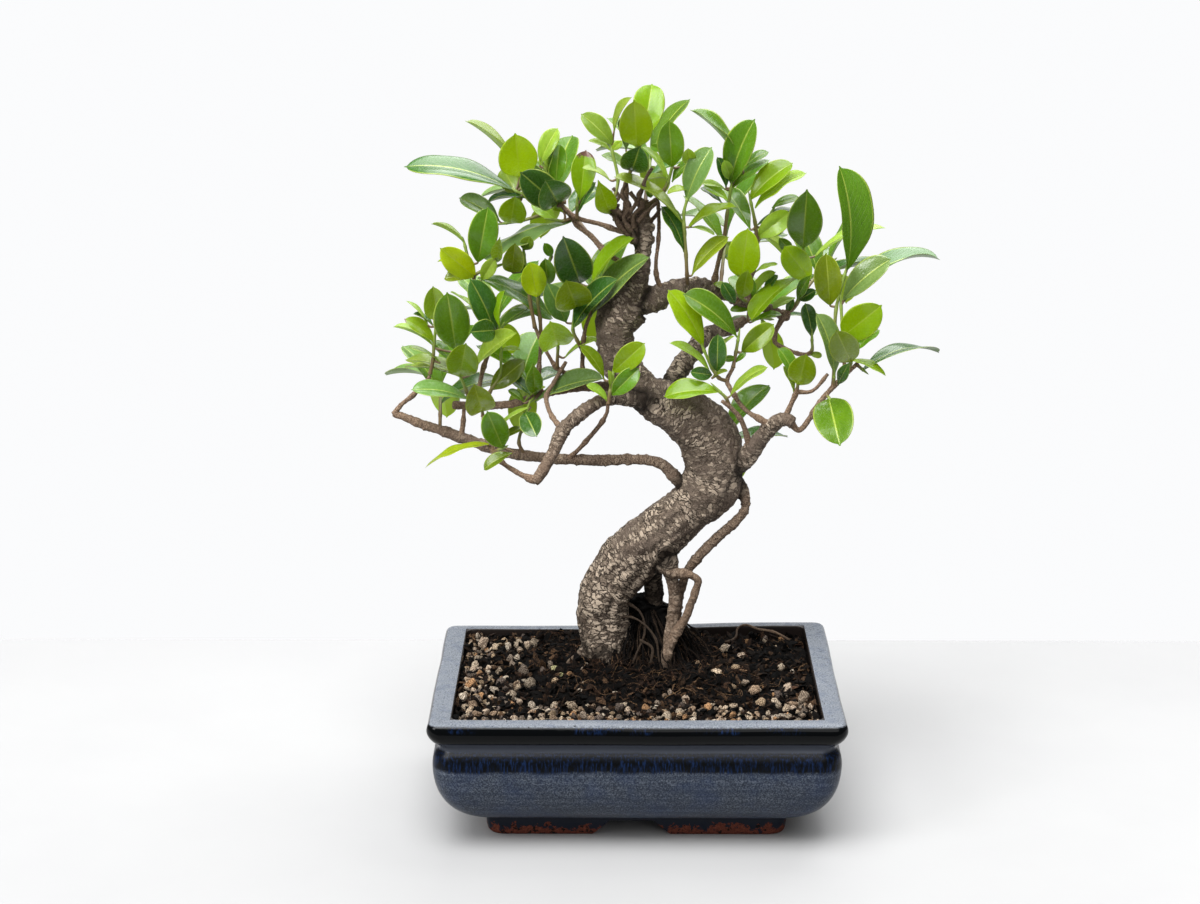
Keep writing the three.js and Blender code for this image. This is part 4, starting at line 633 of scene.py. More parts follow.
# ---- curves ----
def curve_points(places, steps):
    """Points on a smooth curve through the places (a centripetal Catmull-Rom curve), and where each
    lies, counted in places."""
    places = np.asarray(places, float)
    padded = np.concatenate([[2 * places[0] - places[1]], places, [2 * places[-1] - places[-2]]])
    where = np.linspace(0, len(places) - 1, steps + 1)
    i = np.minimum(where.astype(int), len(places) - 2)
    w = (where - i)[:, None]
    p0, p1, p2, p3 = (padded[i + k] for k in range(4))
    d0, d1, d2 = (np.maximum(np.linalg.norm(b[:, :3] - a[:, :3], axis=1, keepdims=True), 1e-8) ** 0.5
                  for a, b in ((p0, p1), (p1, p2), (p2, p3)))
    m1 = ((p1 - p0) / d0 - (p2 - p0) / (d0 + d1) + (p2 - p1) / d1) * d1
    m2 = ((p2 - p1) / d1 - (p3 - p1) / (d1 + d2) + (p3 - p2) / d2) * d1
    return p1 + m1 * w + (3 * (p2 - p1) - 2 * m1 - m2) * w ** 2 + (2 * (p1 - p2) + m1 + m2) * w ** 3, where


def arc_points(a, b, c, t):
    """Points at shares t of the way from a to c, on a quadratic curve that b draws towards itself."""
    return (1 - t) ** 2 * a + 2 * t * (1 - t) * b + t ** 2 * c


def frames_along(points):
    """Directions along a curve, and two directions across it that turn as little as possible."""
    along = unit(np.gradient(points, axis=0))
    start = np.array([1.0, 0, 0]) if abs(along[0, 2]) > 0.9 else np.array([0, 0, 1.0])
    across = np.empty_like(points)
    for i, direction in enumerate(along):
        start = unit(start - direction * (start @ direction))
        across[i] = start
    return along, across, np.cross(along, across)


def round_angles(sides):
    return np.linspace(0, 2 * math.pi, sides, endpoint=False)


def tube_rings(points, radii, sides, lump=1.0):
    """Rings of points round a curve. lump, one or one for each ring and side, scales the radius."""
    _, across, second = frames_along(points)
    angles = round_angles(sides)[:, None]
    out = across[:, None] * np.cos(angles) + second[:, None] * np.sin(angles)
    size = np.broadcast_to(np.asarray(radii, float)[:, None], (len(points), sides)) * lump
    return points[:, None] + out * size[:, :, None]


# ---- materials ----
class Wire:
    """A value in a material's node tree. It is reckoned with as a number is."""

    def __init__(self, look, socket):
        self.look, self.socket = look, socket

    def __add__(self, other):
        return self.look.math("ADD", self, other)

    def __sub__(self, other):
        return self.look.math("SUBTRACT", self, other)

    def __rsub__(self, other):
        return self.look.math("SUBTRACT", other, self)

    def __mul__(self, other):
        return self.look.math("MULTIPLY", self, other)

    def __truediv__(self, other):
        return self.look.math("DIVIDE", self, other)

    def __lt__(self, other):
        return self.look.math("LESS_THAN", self, other)

    def __gt__(self, other):
        return self.look.math("GREATER_THAN", self, other)

    def __abs__(self):
        return self.look.math("ABSOLUTE", self)

    def ramp(self, low, high, start=0.0, end=1.0):
        """A smooth change from start to end while this goes from low to high."""
        return self.look.node("MapRange", {"Value": self, "From Min": low, "From Max": high,
                                           "To Min": start, "To Max": end},
                              interpolation_type="SMOOTHSTEP")


class Look:
    """A procedural material: a node tree round one Principled shader."""

    def __init__(self, name, **fixed):
        self.material = bpy.data.materials.new(name)
        self.material.use_nodes = True
        self.tree = self.material.node_tree
        self.shader = self.tree.nodes["Principled BSDF"]
        self.output = self.tree.nodes["Material Output"]
        self.shade(**fixed)

    def set(self, node, values):
        for name, value in values.items():
            socket = node.inputs[name]
            if isinstance(value, Wire):
                self.tree.links.new(value.socket, socket)
            elif hasattr(value, "__len__") and len(value) == 3 and socket.type == "RGBA":
                socket.default_value = (*value, 1)
            else:
                socket.default_value = value

    def node(self, kind, values=(), output=0, **settings):
        made = self.tree.nodes.new("ShaderNode" + kind)
        for name, value in settings.items():
            setattr(made, name, value)
        self.set(made, dict(values))
        return Wire(self, made.outputs[output])

    def shade(self, **values):
        self.set(self.shader, {k.replace("_", " "): v for k, v in values.items()})

    def attribute(self, name, output="Fac"):
        return self.node("Attribute", output=output, attribute_name=name)

    def math(self, operation, a, b=0.0):
        return self.node("Math", {0: a, 1: b}, operation=operation)

    def scaled(self, vector, *scale):
        return self.node("VectorMath", {0: vector, 1: scale}, operation="MULTIPLY")

    def noise(self, vector, scale, detail=2.0, roughness=0.5):
        return self.node("TexNoise", {"Vector": vector, "Scale": scale, "Detail": detail,
                                      "Roughness": roughness})

    def mix(self, share, a, b, blend="MIX"):
        return self.node("Mix", {0: share, 6: a, 7: b}, 2, data_type="RGBA", blend_type=blend)

    def tinted(self, colour, tint):
        return self.mix(1.0, colour, tint, "MULTIPLY")

    def between(self, share, a, b):
        """The number that lies a share of the way from a to b."""
        return self.node("Mix", {0: share, 2: a, 3: b})

    def bump(self, height, distance, strength=1.0, **normal):
        return self.node("Bump", {"Height": height, "Distance": distance, "Strength": strength, **normal})

    def place(self):
        """Where a point of the surface lies, in millimetres from the tray's centre on the floor."""
        away = self.node("VectorMath", {0: self.node("TexCoord", output="Object"), 1: tuple(CENTRE)},
                         operation="SUBTRACT")
        return self.scaled(away, 1 / MM, 1 / MM, 1 / MM)


def rgb(r, g, b):
    """A screen colour, 0 to 255, as the linear colour that a shader takes."""
    return tuple(((c / 255 + 0.055) / 1.055) ** 2.4 if c > 10 else c / 255 / 12.92 for c in (r, g, b))


def picked(colours, random, low, high, power=1):
    """One of the colours, made darker or lighter by chance."""
    return np.array(rgb(*colours[int(random.integers(len(colours)))])) * random.uniform(low, high) ** power


# ---- the tray ----
def rounded_ring(long, deep, corner, z, corner_steps=16, side_steps=26):
    """A rounded rectangle at height z, anticlockwise from the right side's front end."""
    points = []
    corners = ((1, 1), (-1, 1), (-1, -1), (1, -1))

    def arc(quarter, i):
        sx, sy = corners[quarter % 4]
        angle = (quarter + i / corner_steps) * math.pi / 2
        return np.array([sx * (long / 2 - corner) + corner * math.cos(angle),
                         sy * (deep / 2 - corner) + corner * math.sin(angle), z])
    for quarter in range(4):
        points += [arc(quarter, i) for i in range(corner_steps + 1)]
        start, end = arc(quarter, corner_steps), arc(quarter + 1, 0)
        points += [start + (end - start) * i / side_steps for i in range(1, side_steps)]
    return np.array(points)


def grown(part, out, corner, z):
    """A ring that lies `out` outside a part's length and depth, both sides taken together."""
    return part[0] + out, part[1] + out, corner, z


def tray_profile():
    """Rings (long, deep, corner, z) from under the floor, round the foot, up the outside, over the rim
    and down the inside."""
    hollow = [FOOT[side] - FOOT["wall"] * 2 for side in SIDES]
    foot, belly, rim = ([part[side] for side in SIDES] for part in (FOOT, BELLY, RIM))
    opening = [rim[0] - 2 * RIM["side"], rim[1] - RIM["front"] - RIM["back"]]
    rings = [grown(hollow, *row) for row in UNDERSIDE]
    rings += [grown(foot, -inward, FOOT_CORNER, z) for inward, z in FOOT_SIDE]
    narrowing = belly[0] - foot[0] - 2 * FLOOR_OUT
    for share in np.linspace(*BELLY_SHARES):
        inward = narrowing * (1 - math.cos(share * math.pi / 2))
        z = BELLY["z"] - (BELLY["z"] - FOOT["z"]) * math.sin(share * math.pi / 2)
        rings.append(grown(belly, -inward, CORNER, z))
    rings += [grown(belly, -inward, corner, z) for inward, z, corner in SHOULDER]
    rings += [grown(opening, out, INSIDE_CORNER, z) for out, z in RIM_INSIDE]
    rings.append(grown(rim, -2 * RIM["wall"], INSIDE_CORNER, INSIDE_STRAIGHT_Z))
    floor = [side + 2 * FLOOR_OUT for side in foot]
    return rings + [grown(floor, 0, FLOOR_CORNER, FLOOR_Z), grown(floor, -MIDDLE_IN, 4, FLOOR_Z)]


def arch_outline(below, above):
    """Half-widths and heights of a flat-topped arch, up one side and down the other."""
    start = np.array([below / 2, -1])
    bend = np.array([above / 2 + ARCH["knee_out"], ARCH["knee"] * ARCH["height"]])
    end = np.array([above / 2 - ARCH["top_in"], ARCH["height"]])
    side = arc_points(start, bend, end, np.linspace(0, 1, 9)[:, None])
    return np.concatenate([side, side[::-1] * (-1, 1)])


def hand_made(points):
    """The tray's small departures from true: long sides that bow, a back rim that rises to the right,
    a hollow that lies a little back, and faint waves."""
    x, y, z = points.T
    half_long, half_deep, edge = RIM["long"] / 2, RIM["deep"] / 2, HAND["edge"]
    high = smoothstep(*HAND["bows_from"], z)
    bow = HAND["bow"] * np.cos(np.clip(x / half_long, -1, 1) * math.pi / 2)
    inside = (np.abs(x) < half_long - edge) & (np.abs(y) < half_deep - edge) & (z > HAND["hollow_above"])
    lift = HAND["lift"] * smoothstep(*HAND["lifts_along"], x) * smoothstep(*HAND["lifts_back"], y)
    moved = points.copy()
    moved[:, 1] += np.sign(y) * bow * high + inside * (RIM["front"] - RIM["back"]) / 2 * high
    moved[:, 2] += lift * high
    waves = np.stack([turbulence(points, HAND["wave"], 2, seed) for seed in (5, 6, 8)], 1)
    return moved + waves * HAND["wave_high"] * smoothstep(*HAND["waves_from"], z)[:, None]


def arch_tool(outline, sideways):
    """A long block of an arch's section, from front to back or from side to side."""
    reach = BELLY["long"]
    ends = np.stack([np.stack([outline[:, 0], np.full(len(outline), y), outline[:, 1]], 1)
                     for y in (reach, -reach)])
    return ends[:, :, [1, 0, 2]] * (1, -1, 1) if sideways else ends


def drain_tool(x):
    """A round bar that goes through the floor."""
    angles = round_angles(DRAIN["sides"])
    return np.stack([np.stack([x + DRAIN["radius"] * np.cos(angles), DRAIN["radius"] * np.sin(angles),
                               np.full(len(angles), z)], 1)
                     for z in (FOOT["under"] - DRAIN["past"], FLOOR_Z + DRAIN["past"])])


def tray(look):
    rings = np.stack([rounded_ring(*row) for row in tray_profile()])
    pile = Pile()
    pile.loft(hand_made(rings.reshape(-1, 3)).reshape(rings.shape))
    body = pile.piece("tray", [look], "glaze", ["pot"])
    tools = [arch_tool(arch_outline(*ARCHES["front"]) - (ARCH["left_of_middle"], 0), False),
             arch_tool(arch_outline(*ARCHES["side"]), True)]
    tools += [drain_tool(side * DRAIN["offset"]) for side in (-1, 1)]
    for rings in tools:
        block = Pile()
        block.loft(rings)
        tool = linked("cutter", block.mesh("cutter"))
        cut = body.modifiers.new("opening", "BOOLEAN")
        cut.object, cut.operation, cut.solver = tool, "DIFFERENCE", "EXACT"
        apply_modifiers(body)
        bpy.data.objects.remove(tool)
    body.data.shade_smooth()
    body.data.set_sharp_from_angle(angle=math.radians(TRAY_CREASE))
    return body


def glaze_look():
    """A glaze that broke as it ran: satin grey-blue on the belly, streaked on the shoulder, with a grey band
    under the lip that is painted reflection, near black and glossy on the lip, pale on the rim, and chipped
    away from the red clay of the foot."""
    look = Look("blue_glaze", IOR=1.36, Specular_IOR_Level=0.2)
    place = look.place()
    x, y, z = (look.node("SeparateXYZ", {0: place}, output=i) for i in range(3))
    cloud = look.noise(place, 0.045, 4, 0.65)
    fine = look.noise(place, 1.1, 3, 0.75)
    streaks = look.noise(look.scaled(place, 0.95, 0.95, 0.1), 1.0, 4, 0.75)
    turning = look.noise(look.scaled(place, 0.012, 0.012, 0.5), 1.0, 3, 0.6)
    black, blue = rgb(3, 4, 5), rgb(15, 31, 60)
    # The grey colour of the lip's underside is painted reflection.
    neck, inner_wall, skirt = rgb(66, 70, 79), rgb(30, 25, 23), rgb(22, 27, 38)

    belly = look.mix(fine.ramp(0.42, 0.64), rgb(37, 42, 51), rgb(88, 95, 106))
    belly = look.mix(cloud.ramp(0.4, 0.7, 0.0, 0.4), belly, rgb(34, 50, 82))
    belly = look.mix(turning.ramp(0.4, 0.62, 0.45, 0.0), belly, rgb(30, 38, 52))
    broken = look.mix(streaks.ramp(0.47, 0.66), black, blue)
    patchy = look.mix(streaks.ramp(0.45, 0.62) * cloud.ramp(0.5, 0.66), black, blue)
    pale = look.mix(fine.ramp(0.3, 0.62), rgb(68, 72, 78), rgb(118, 123, 131))
    pale = look.mix(look.noise(place, 0.12, 4, 0.75).ramp(0.48, 0.68, 0.0, 0.4), pale, rgb(66, 76, 96))
    pale = look.mix(look.noise(place, 0.5, 2, 0.6).ramp(0.68, 0.72), pale, rgb(26, 26, 30))

    height = z - 4 + (cloud * 5 + streaks * 3)
    top = (z + fine * 0.8).ramp(*GLAZE_FROM["rim"])
    glazed = look.mix(height.ramp(*GLAZE_FROM["band"]), belly, broken)
    # painted reflection: the grey band under the lip, where its underside faces down
    glazed = look.mix(z.ramp(*GLAZE_FROM["neck"]), glazed, neck)
    glazed = look.mix(z.ramp(*GLAZE_FROM["lip"]), glazed, black)
    glazed = look.mix(z.ramp(*GLAZE_FROM["crest"]), glazed, patchy)
    glazed = look.mix(top, glazed, pale)
    across = abs(x) / (RIM["long"] / 2 - RIM["side"] + 0.8)
    back = abs(y - 1.2) / (RIM["deep"] / 2 - (RIM["front"] + RIM["back"]) / 2 + 1.2)
    inside = (look.math("MAXIMUM", across, back) < 1) * (z > INSIDE_STRAIGHT_Z + 1)
    glazed = look.mix(inside, glazed, inner_wall)
    glazed = look.mix(z.ramp(*GLAZE_FROM["skirt"]), glazed, skirt)

    bare = z < look.noise(place, 0.16, 4, 0.7) * 22 - 5.4
    scabs = look.noise(place, 0.35, 3, 0.7).ramp(0.56, 0.6) * bare
    clay = look.mix(fine.ramp(0.3, 0.7), rgb(70, 34, 26), rgb(112, 62, 48))
    clay = look.mix(scabs, clay, rgb(14, 12, 12))
    smooth = look.between(top, z.ramp(58, 68, 0.33, 0.045), 0.24)
    wavy = look.bump(look.noise(place, 0.07, 3, 0.5), 0.0005, 0.3)
    grain = look.between(bare, z.ramp(58, 66, 0.5, 0.1), 1.0)
    look.shade(Base_Color=look.mix(bare, glazed, clay), Roughness=look.between(bare, smooth, 0.85),
               Normal=look.bump(fine, 0.00012, grain, Normal=wavy))
    return look.material


# ---- the soil ----
def soil_height(x, y):
    far = np.hypot(x - SOIL["x"], y - SOIL["y"]) / SOIL["radius"]
    rough = np.sin(x * 0.21 + 1.3) * np.cos(y * 0.19) + 0.6 * np.sin(x * 0.37 - y * 0.33)
    return SOIL["edge"] + SOIL["rise"] * np.exp(-far * far) + SOIL["rough"] * rough


def crumbly_height(x, y):
    """The soil's height with its clods."""
    flat = np.stack([x, y, np.zeros_like(x)], 1)
    large = np.abs(turbulence(flat, CLODS["large"], 2, 21)) * CLODS["large_high"]
    small = turbulence(flat, CLODS["small"], 2, 23) * CLODS["small_high"]
    return soil_height(x, y) - CLODS["sunk"] + large + small


def soil_bed(look):
    steps = SOIL_STEPS["corner"], SOIL_STEPS["side"]
    wall = 2 * (RIM["wall"] + GAP)
    floor = (FOOT["long"] + 2 * (FLOOR_OUT - GAP), FOOT["deep"] + 2 * (FLOOR_OUT - GAP), FLOOR_CORNER)
    lower = (RIM["long"] - wall, RIM["deep"] - wall, INSIDE_CORNER - GAP)
    upper = (RIM["long"] - 2 * (RIM["side"] + GAP), RIM["deep"] - RIM["front"] - RIM["back"] - 2 * GAP,
             INSIDE_CORNER - GAP)
    rings = [rounded_ring(*floor, FLOOR_Z + GAP, *steps), rounded_ring(*lower, INSIDE_STRAIGHT_Z, *steps)]
    edge = rounded_ring(*upper, 0, *steps) + (0, (RIM["front"] - RIM["back"]) / 2, 0)
    middle = np.array([SOIL["x"], SOIL["y"]])
    for share in np.linspace(1, SOIL_STEPS["innermost"], SOIL_STEPS["inward"]):
        flat = middle + (edge[:, :2] - middle) * share
        z = crumbly_height(flat[:, 0], flat[:, 1]) - SOIL["dip"] * smoothstep(SOIL["dips_from"], 1, share)
        rings.append(np.column_stack([flat, z]))
    pile = Pile()
    pile.loft(np.stack(rings))
    return pile.piece("soil_bed", [look], "earth", ["soil"])


def soil_look():
    look = Look("damp_soil", Roughness=0.9, Specular_IOR_Level=0.08)
    fine = look.noise(look.place(), 1.6, 5, 0.7)
    patches = look.noise(look.place(), 0.12, 3, 0.6)
    dark = look.mix(patches.ramp(0.35, 0.65), rgb(1, 1, 1), rgb(7, 5, 4))
    look.shade(Base_Color=look.mix(fine.ramp(0.55, 0.8), dark, rgb(32, 24, 18)),
               Normal=look.bump(fine, 0.0012, 0.9))
    return look.material


def litter_look(name, roughness):
    """Loose bits that each have a colour of their own, with pores and dust."""
    look = Look(name, Roughness=roughness, Specular_IOR_Level=0.12)
    pores = look.noise(look.place(), 1.7, 4, 0.75)
    stained = look.mix(pores.ramp(0.42, 0.6), (0.08, 0.06, 0.05), (1, 1, 1))
    look.shade(Base_Color=look.tinted(look.attribute("hue", "Color"), stained),
               Normal=look.bump(pores, 0.0009, 0.9))
    return look.material


def sphere_skin(level):
    """The points (n, 3) and triangles of a round ball of radius 1."""
    ball = bmesh.new()
    bmesh.ops.create_icosphere(ball, subdivisions=level, radius=1)
    points = np.array([v.co for v in ball.verts])
    tris = np.array([[v.index for v in face.verts] for face in ball.faces])
    ball.free()
    return points, tris


def turned(points, x, y, z):
    """Points turned about X, then Y, then Z."""
    for angle, (a, b) in ((x, (1, 2)), (y, (2, 0)), (z, (0, 1))):
        out = points.copy()
        out[:, a] = points[:, a] * math.cos(angle) - points[:, b] * math.sin(angle)
        out[:, b] = points[:, a] * math.sin(angle) + points[:, b] * math.cos(angle)
        points = out
    return points


def inner_half(from_wall):
    """Half the length and depth of the tray's opening, less a distance from its wall."""
    return RIM["long"] / 2 - RIM["side"] - from_wall, RIM["deep"] / 2 - RIM["back"] - from_wall


def crumbs(look):
    """Crumbs and flakes of the soil, all over its surface."""
    random = np.random.default_rng(3)
    points, tris = sphere_skin(1)
    points = points * (1, 1, 0.55) * (1 + 0.4 * (np.abs(points[:, :1]) > 0.8))
    half_long, half_deep = inner_half(CRUMB["from_wall"])
    pile = Pile(hue=BLACK)
    x, y = random.uniform(-half_long, half_long, CRUMBS), random.uniform(-half_deep, half_deep, CRUMBS)
    z = crumbly_height(x, y)
    for i in range(CRUMBS):
        size = CRUMB["least"] + CRUMB["more"] * random.random() ** CRUMB["rarer"]
        flat = random.uniform(*CRUMB["flat"])
        shape = points * random.uniform(*CRUMB["ragged"], (len(points), 1))
        shape = shape * (size * random.uniform(*CRUMB["long"]), size, size * flat)
        bit = turned(shape, *random.normal(0, CRUMB["tilt"], 2), random.uniform(0, 2 * math.pi))
        pile.add(bit + (x[i], y[i], z[i] + size * CRUMB["proud"]), [], tris,
                 hue=picked(CRUMB_COLOURS, random, *CRUMB["shade"]))
    return pile.piece("soil_crumbs", [look], "earth", crease=CRUMB["crease"])


def is_gravelled(x, y):
    right_front = x > GRAVEL["right_from"] and y < GRAVEL["right_before"]
    return x < GRAVEL["left_end"] or y < GRAVEL["front_edge"] or right_front


def large_grains():
    """The large pumice grains, as (x, y, radius, turns)."""
    random = seeded(GRAINS["seed"])
    half_long = RIM["long"] / 2 - RIM["wall"] - GRAINS["from_wall"]
    half_deep = RIM["deep"] / 2 - RIM["wall"] - GRAINS["from_wall"]
    found = []
    for _ in range(GRAINS["tries"]):
        x = (2 * random() - 1) * half_long
        y = (2 * random() - 1) * half_deep
        radius = GRAINS["small"] + (GRAINS["large"] - GRAINS["small"]) * random()
        turns = [random() * 2 * math.pi for _ in range(3)]
        stray = random() < GRAVEL["strays"] and math.hypot(x, y - TRUNK_PLANE_Y) > GRAVEL["clear"]
        apart = GRAINS["spacing"] + GRAINS["jitter"] * random()
        clear = all(math.hypot(o[0] - x, o[1] - y) > apart for o in found)
        if clear and (stray or is_gravelled(x, y)):
            found.append((x, y, radius, turns))
    return found


def pumice(look):
    """Porous, knobbly grains: the large ones, and many small ones between and beside them."""
    random = np.random.default_rng(7)
    points, tris = sphere_skin(3)
    half_long, half_deep = inner_half(SMALL_GRAINS["from_wall"])
    found = [(x, y, r * GRAINS["shown"], turns) for x, y, r, turns in large_grains()]
    spots = [(x, y, r) for x, y, r, _ in found]
    for _ in range(SMALL_GRAINS["tries"]):
        x, y = random.uniform(-half_long, half_long), random.uniform(-half_deep, half_deep)
        radius = SMALL_GRAINS["least"] + SMALL_GRAINS["more"] * random.random() ** SMALL_GRAINS["rarer"]
        cluster = float(noise(np.array([[x, y, 0]]), SMALL_GRAINS["cluster"], 33)[0])
        corner = smoothstep(-70, -100, x) + smoothstep(-30, -70, y)
        corner = corner + smoothstep(80, 100, x) * smoothstep(-10, -50, y)
        if is_gravelled(x, y):
            chance = corner + SMALL_GRAINS["clustering"] * cluster - SMALL_GRAINS["fewer"]
        else:
            chance = SMALL_GRAINS["strays"] + SMALL_GRAINS["more_strays"] * max(cluster, 0)
        apart = SMALL_GRAINS["apart"]
        if random.random() < chance and all(math.hypot(a - x, b - y) > (radius + r) * apart
                                            for a, b, r in spots):
            spots.append((x, y, radius))
            found.append((x, y, radius, random.uniform(0, 2 * math.pi, 3)))
    pile = Pile(hue=BLACK)
    for i, (x, y, radius, turns) in enumerate(found):
        cuts = unit(random.normal(0, 1, (GRAINS["cuts"], 3)))
        over = (points @ cuts.T) / random.uniform(*GRAINS["cut_at"], GRAINS["cuts"])
        shape = points / np.maximum(over.max(1), 1)[:, None]
        rough = 1 + GRAINS["lumps"] * turbulence(points + i * 3.7, 0.9, 2, 3)
        rough = rough - GRAINS["pits"] * np.abs(noise(points + i * 1.3, 0.4, 9))
        size = radius * GRAINS["swollen"]
        grain = turned(shape * rough[:, None] * size * np.array(GRAINS["shape"]), *turns)
        z = float(crumbly_height(np.array([x]), np.array([y]))[0]) + radius * GRAINS["proud"]
        pile.add(grain + (x, y, z), [], tris, hue=picked(PUMICE_COLOURS, random, *GRAINS["shade"]))
    return pile.piece("pumice", [look], "earth")


def rootlets(look):
    """Fine roots and fibres that lie about on the soil, thickest near the trunk."""
    random = np.random.default_rng(19)
    pile = Pile(hue=BLACK)
    count = ROOTLET["places"]
    for _ in range(ROOTLET["count"]):
        near = random.random() < ROOTLET["near_trunk"]
        spread = ROOTLET["near_spread"] if near else ROOTLET["far_spread"]
        middle = ROOTLET["near_middle"] if near else (0, 0)
        x = float(np.clip(random.normal(middle[0], spread), -98, 98))
        y = float(np.clip(random.normal(middle[1], spread * 0.75), -72, 76))
        heading, turn = random.uniform(0, 2 * math.pi), random.normal(0, ROOTLET["curl"])
        step = random.uniform(*ROOTLET["long"]) / (count - 1)
        places = []
        for _ in range(count):
            places.append((x, y))
            heading += turn + random.normal(0, ROOTLET["stray"])
            x += math.cos(heading) * step
            y += math.sin(heading) * step
        flat = np.clip(np.array(places), (-103, -77), (103, 79))
        hump = random.uniform(*ROOTLET["hump"]) * np.sin(np.linspace(0, math.pi, count))
        hump = hump + random.uniform(*ROOTLET["proud"])
        path = np.column_stack([flat, crumbly_height(flat[:, 0], flat[:, 1]) + hump])
        add_fibre(pile, path, 24, random.uniform(*ROOTLET["radius"]), 0.5, 6,
                  picked(FIBRE_COLOURS, random, *ROOTLET["shade"]))
    return pile.piece("rootlets", [look], "bark")


def add_fibre(pile, path, steps, radius, end_share, sides, hue):
    """A thin root along a path, which tapers to a share of its radius."""
    middle, _ = curve_points(path, steps)
    pile.loft(tube_rings(middle, np.linspace(radius, radius * end_share, steps + 1), sides), hue=hue)


def on_soil(column, row):
    """The point of the soil's surface that is seen at a column and row."""
    way = ray(column, row)
    height = SOIL["edge"]
    for _ in range(3):
        point = EYE + way * ((height - EYE[2]) / way[2])
        height = float(crumbly_height(point[:1], point[1:2])[0])
    return point


def bark_chips(look):
    """The larger chips of bark and the pale grains that stand out on the soil."""
    points, tris = sphere_skin(2)
    pile = Pile(hue=BLACK)
    for i, (column, row, long, wide, turn, colour) in enumerate(BARK_CHIPS):
        rough = 1 + 0.35 * turbulence(points + i * 2.1, 0.8, 2, 13)
        chip = turned(points * rough[:, None] * (long / 2, wide / 2, wide / 4), 0.2, -0.15, turn)
        pile.add(chip + on_soil(column, row) + (0, 0, wide / 4 + 0.6), [], tris, hue=rgb(*colour))
    return pile.piece("bark_chips", [look], "earth", crease=35)


def root_mass(look):
    """The tangle of old soil and hanging roots between the trunk and its legs, with painted shade: near
    black at the front, browner at the rear.
    """
    random = np.random.default_rng(23)
    grime_and_shade, earthy = rgb(*ROOT_MASS["grime_and_shade"]), rgb(*ROOT_MASS["rear"])
    pile = Pile(hue=grime_and_shade)
    core = np.array([[*seen(c, r, b), d * PIXEL / 2] for c, r, b, d in ROOT_CORE])
    steps, sides = ROOT_MASS["steps"], ROOT_MASS["sides"]
    smooth, _ = curve_points(core, steps)
    angles = round_angles(sides)
    grid = np.column_stack([np.repeat(np.arange(steps + 1) * 1.1, sides),
                            np.tile(np.cos(angles) * 8, steps + 1), np.tile(np.sin(angles) * 8, steps + 1)])
    lump = 1 + ROOT_MASS["lumps"] * turbulence(grid, (4, 3, 3), 3, 5).reshape(-1, sides)
    rings = tube_rings(smooth[:, :3], smooth[:, 3], sides, lump)
    # painted shade: near black at the front of the core, browner towards its rear
    rear = smoothstep(0, 9, rings[:, :, 1] - smooth[:, None, 1])[:, :, None]
    patches = (0.55 + 0.9 * np.abs(turbulence(grid * 3, 3, 2, 8))).reshape(-1, sides, 1)
    pile.loft(rings, hue=(grime_and_shade + (np.array(earthy) - grime_and_shade) * rear) * patches)
    for _ in range(HANGING["count"]):
        start = int(random.integers(*HANGING["start"]))
        angle = random.uniform(0, 2 * math.pi)
        out = np.array([math.cos(angle), math.sin(angle) * 0.8, 0])
        top = smooth[start, :3] + out * smooth[start, 3] * random.uniform(*HANGING["top_out"])
        foot = smooth[-1, :3] + out * smooth[-1, 3] * random.uniform(*HANGING["foot_out"])
        foot[2] = soil_height(foot[0], foot[1]) - 1
        share = np.linspace(0, 1, 8)[:, None]
        path = top + (foot - top) * share
        path = path + random.normal(0, HANGING["stray"], (8, 3)) * np.sin(share * math.pi)
        path[:, :2] += out[:2] * HANGING["bow"] * np.sin(share * math.pi)
        # painted shade: hanging roots at the front are darker, those at the rear lighter
        side_shade = HANGING["rear_lighter"] if out[1] > 0 else HANGING["front_darker"]
        add_fibre(pile, path, 28, random.uniform(*HANGING["radius"]), 0.6, 7,
                  picked(ROOT_COLOURS, random, *HANGING["shade"]) * side_shade)
    return pile.piece("root_mass", [look], "bark")


# ---- the wood ----
class Tube:
    """A tapering, curving length of wood: close samples of its middle line and radius."""

    def __init__(self, rows, thinnest, number):
        places = np.array([[*seen(c, r, b), max(d, thinnest) * PIXEL / 2] for c, r, b, d in rows])
        length = np.linalg.norm(np.diff(places[:, :3], axis=0), axis=1).sum()
        smooth, _ = curve_points(places, max(8, int(length / SAMPLE)))
        self.middle, self.radius = smooth[:, :3], smooth[:, 3]
        steps = np.linalg.norm(np.diff(self.middle, axis=0), axis=1)
        self.place = np.concatenate([[0], np.cumsum(steps)]) + 173.0 * number
        self.along, self.across, self.second = frames_along(self.middle)


def nearest_wood(points, tubes):
    """For each point: how far out it lies, counted in radii, of the next nearest tube, its place in the
    nearest tube's own grain (two ways across, one along), that tube's radius there, and the way out."""
    n = len(points)
    best, second = np.full(n, 9.0), np.full(n, 9.0)
    grain, radius, out = np.zeros((n, 3)), np.ones(n), np.zeros((n, 3))
    for tube in tubes:
        reach = 2.2 * tube.radius.max()
        near = np.nonzero(np.all((points > tube.middle.min(0) - reach)
                                 & (points < tube.middle.max(0) + reach), axis=1))[0]
        for part in np.array_split(near, max(1, len(near) // 8000)):
            if not len(part):
                continue
            gap = points[part][:, None] - tube.middle[None]
            far = np.linalg.norm(gap, axis=2) / tube.radius
            at = far.argmin(1)
            rel = far[np.arange(len(part)), at]
            offset = gap[np.arange(len(part)), at]
            wins = rel < best[part]
            second[part] = np.where(wins, best[part], np.minimum(second[part], rel))
            won, at, offset = part[wins], at[wins], offset[wins]
            best[won] = rel[wins]
            radius[won] = tube.radius[at]
            grain[won] = np.stack([np.sum(offset * tube.across[at], 1), np.sum(offset * tube.second[at], 1),
                                   tube.place[at] + np.sum(offset * tube.along[at], 1)], 1)
            out[won] = unit(offset)
    return second, grain, radius, out


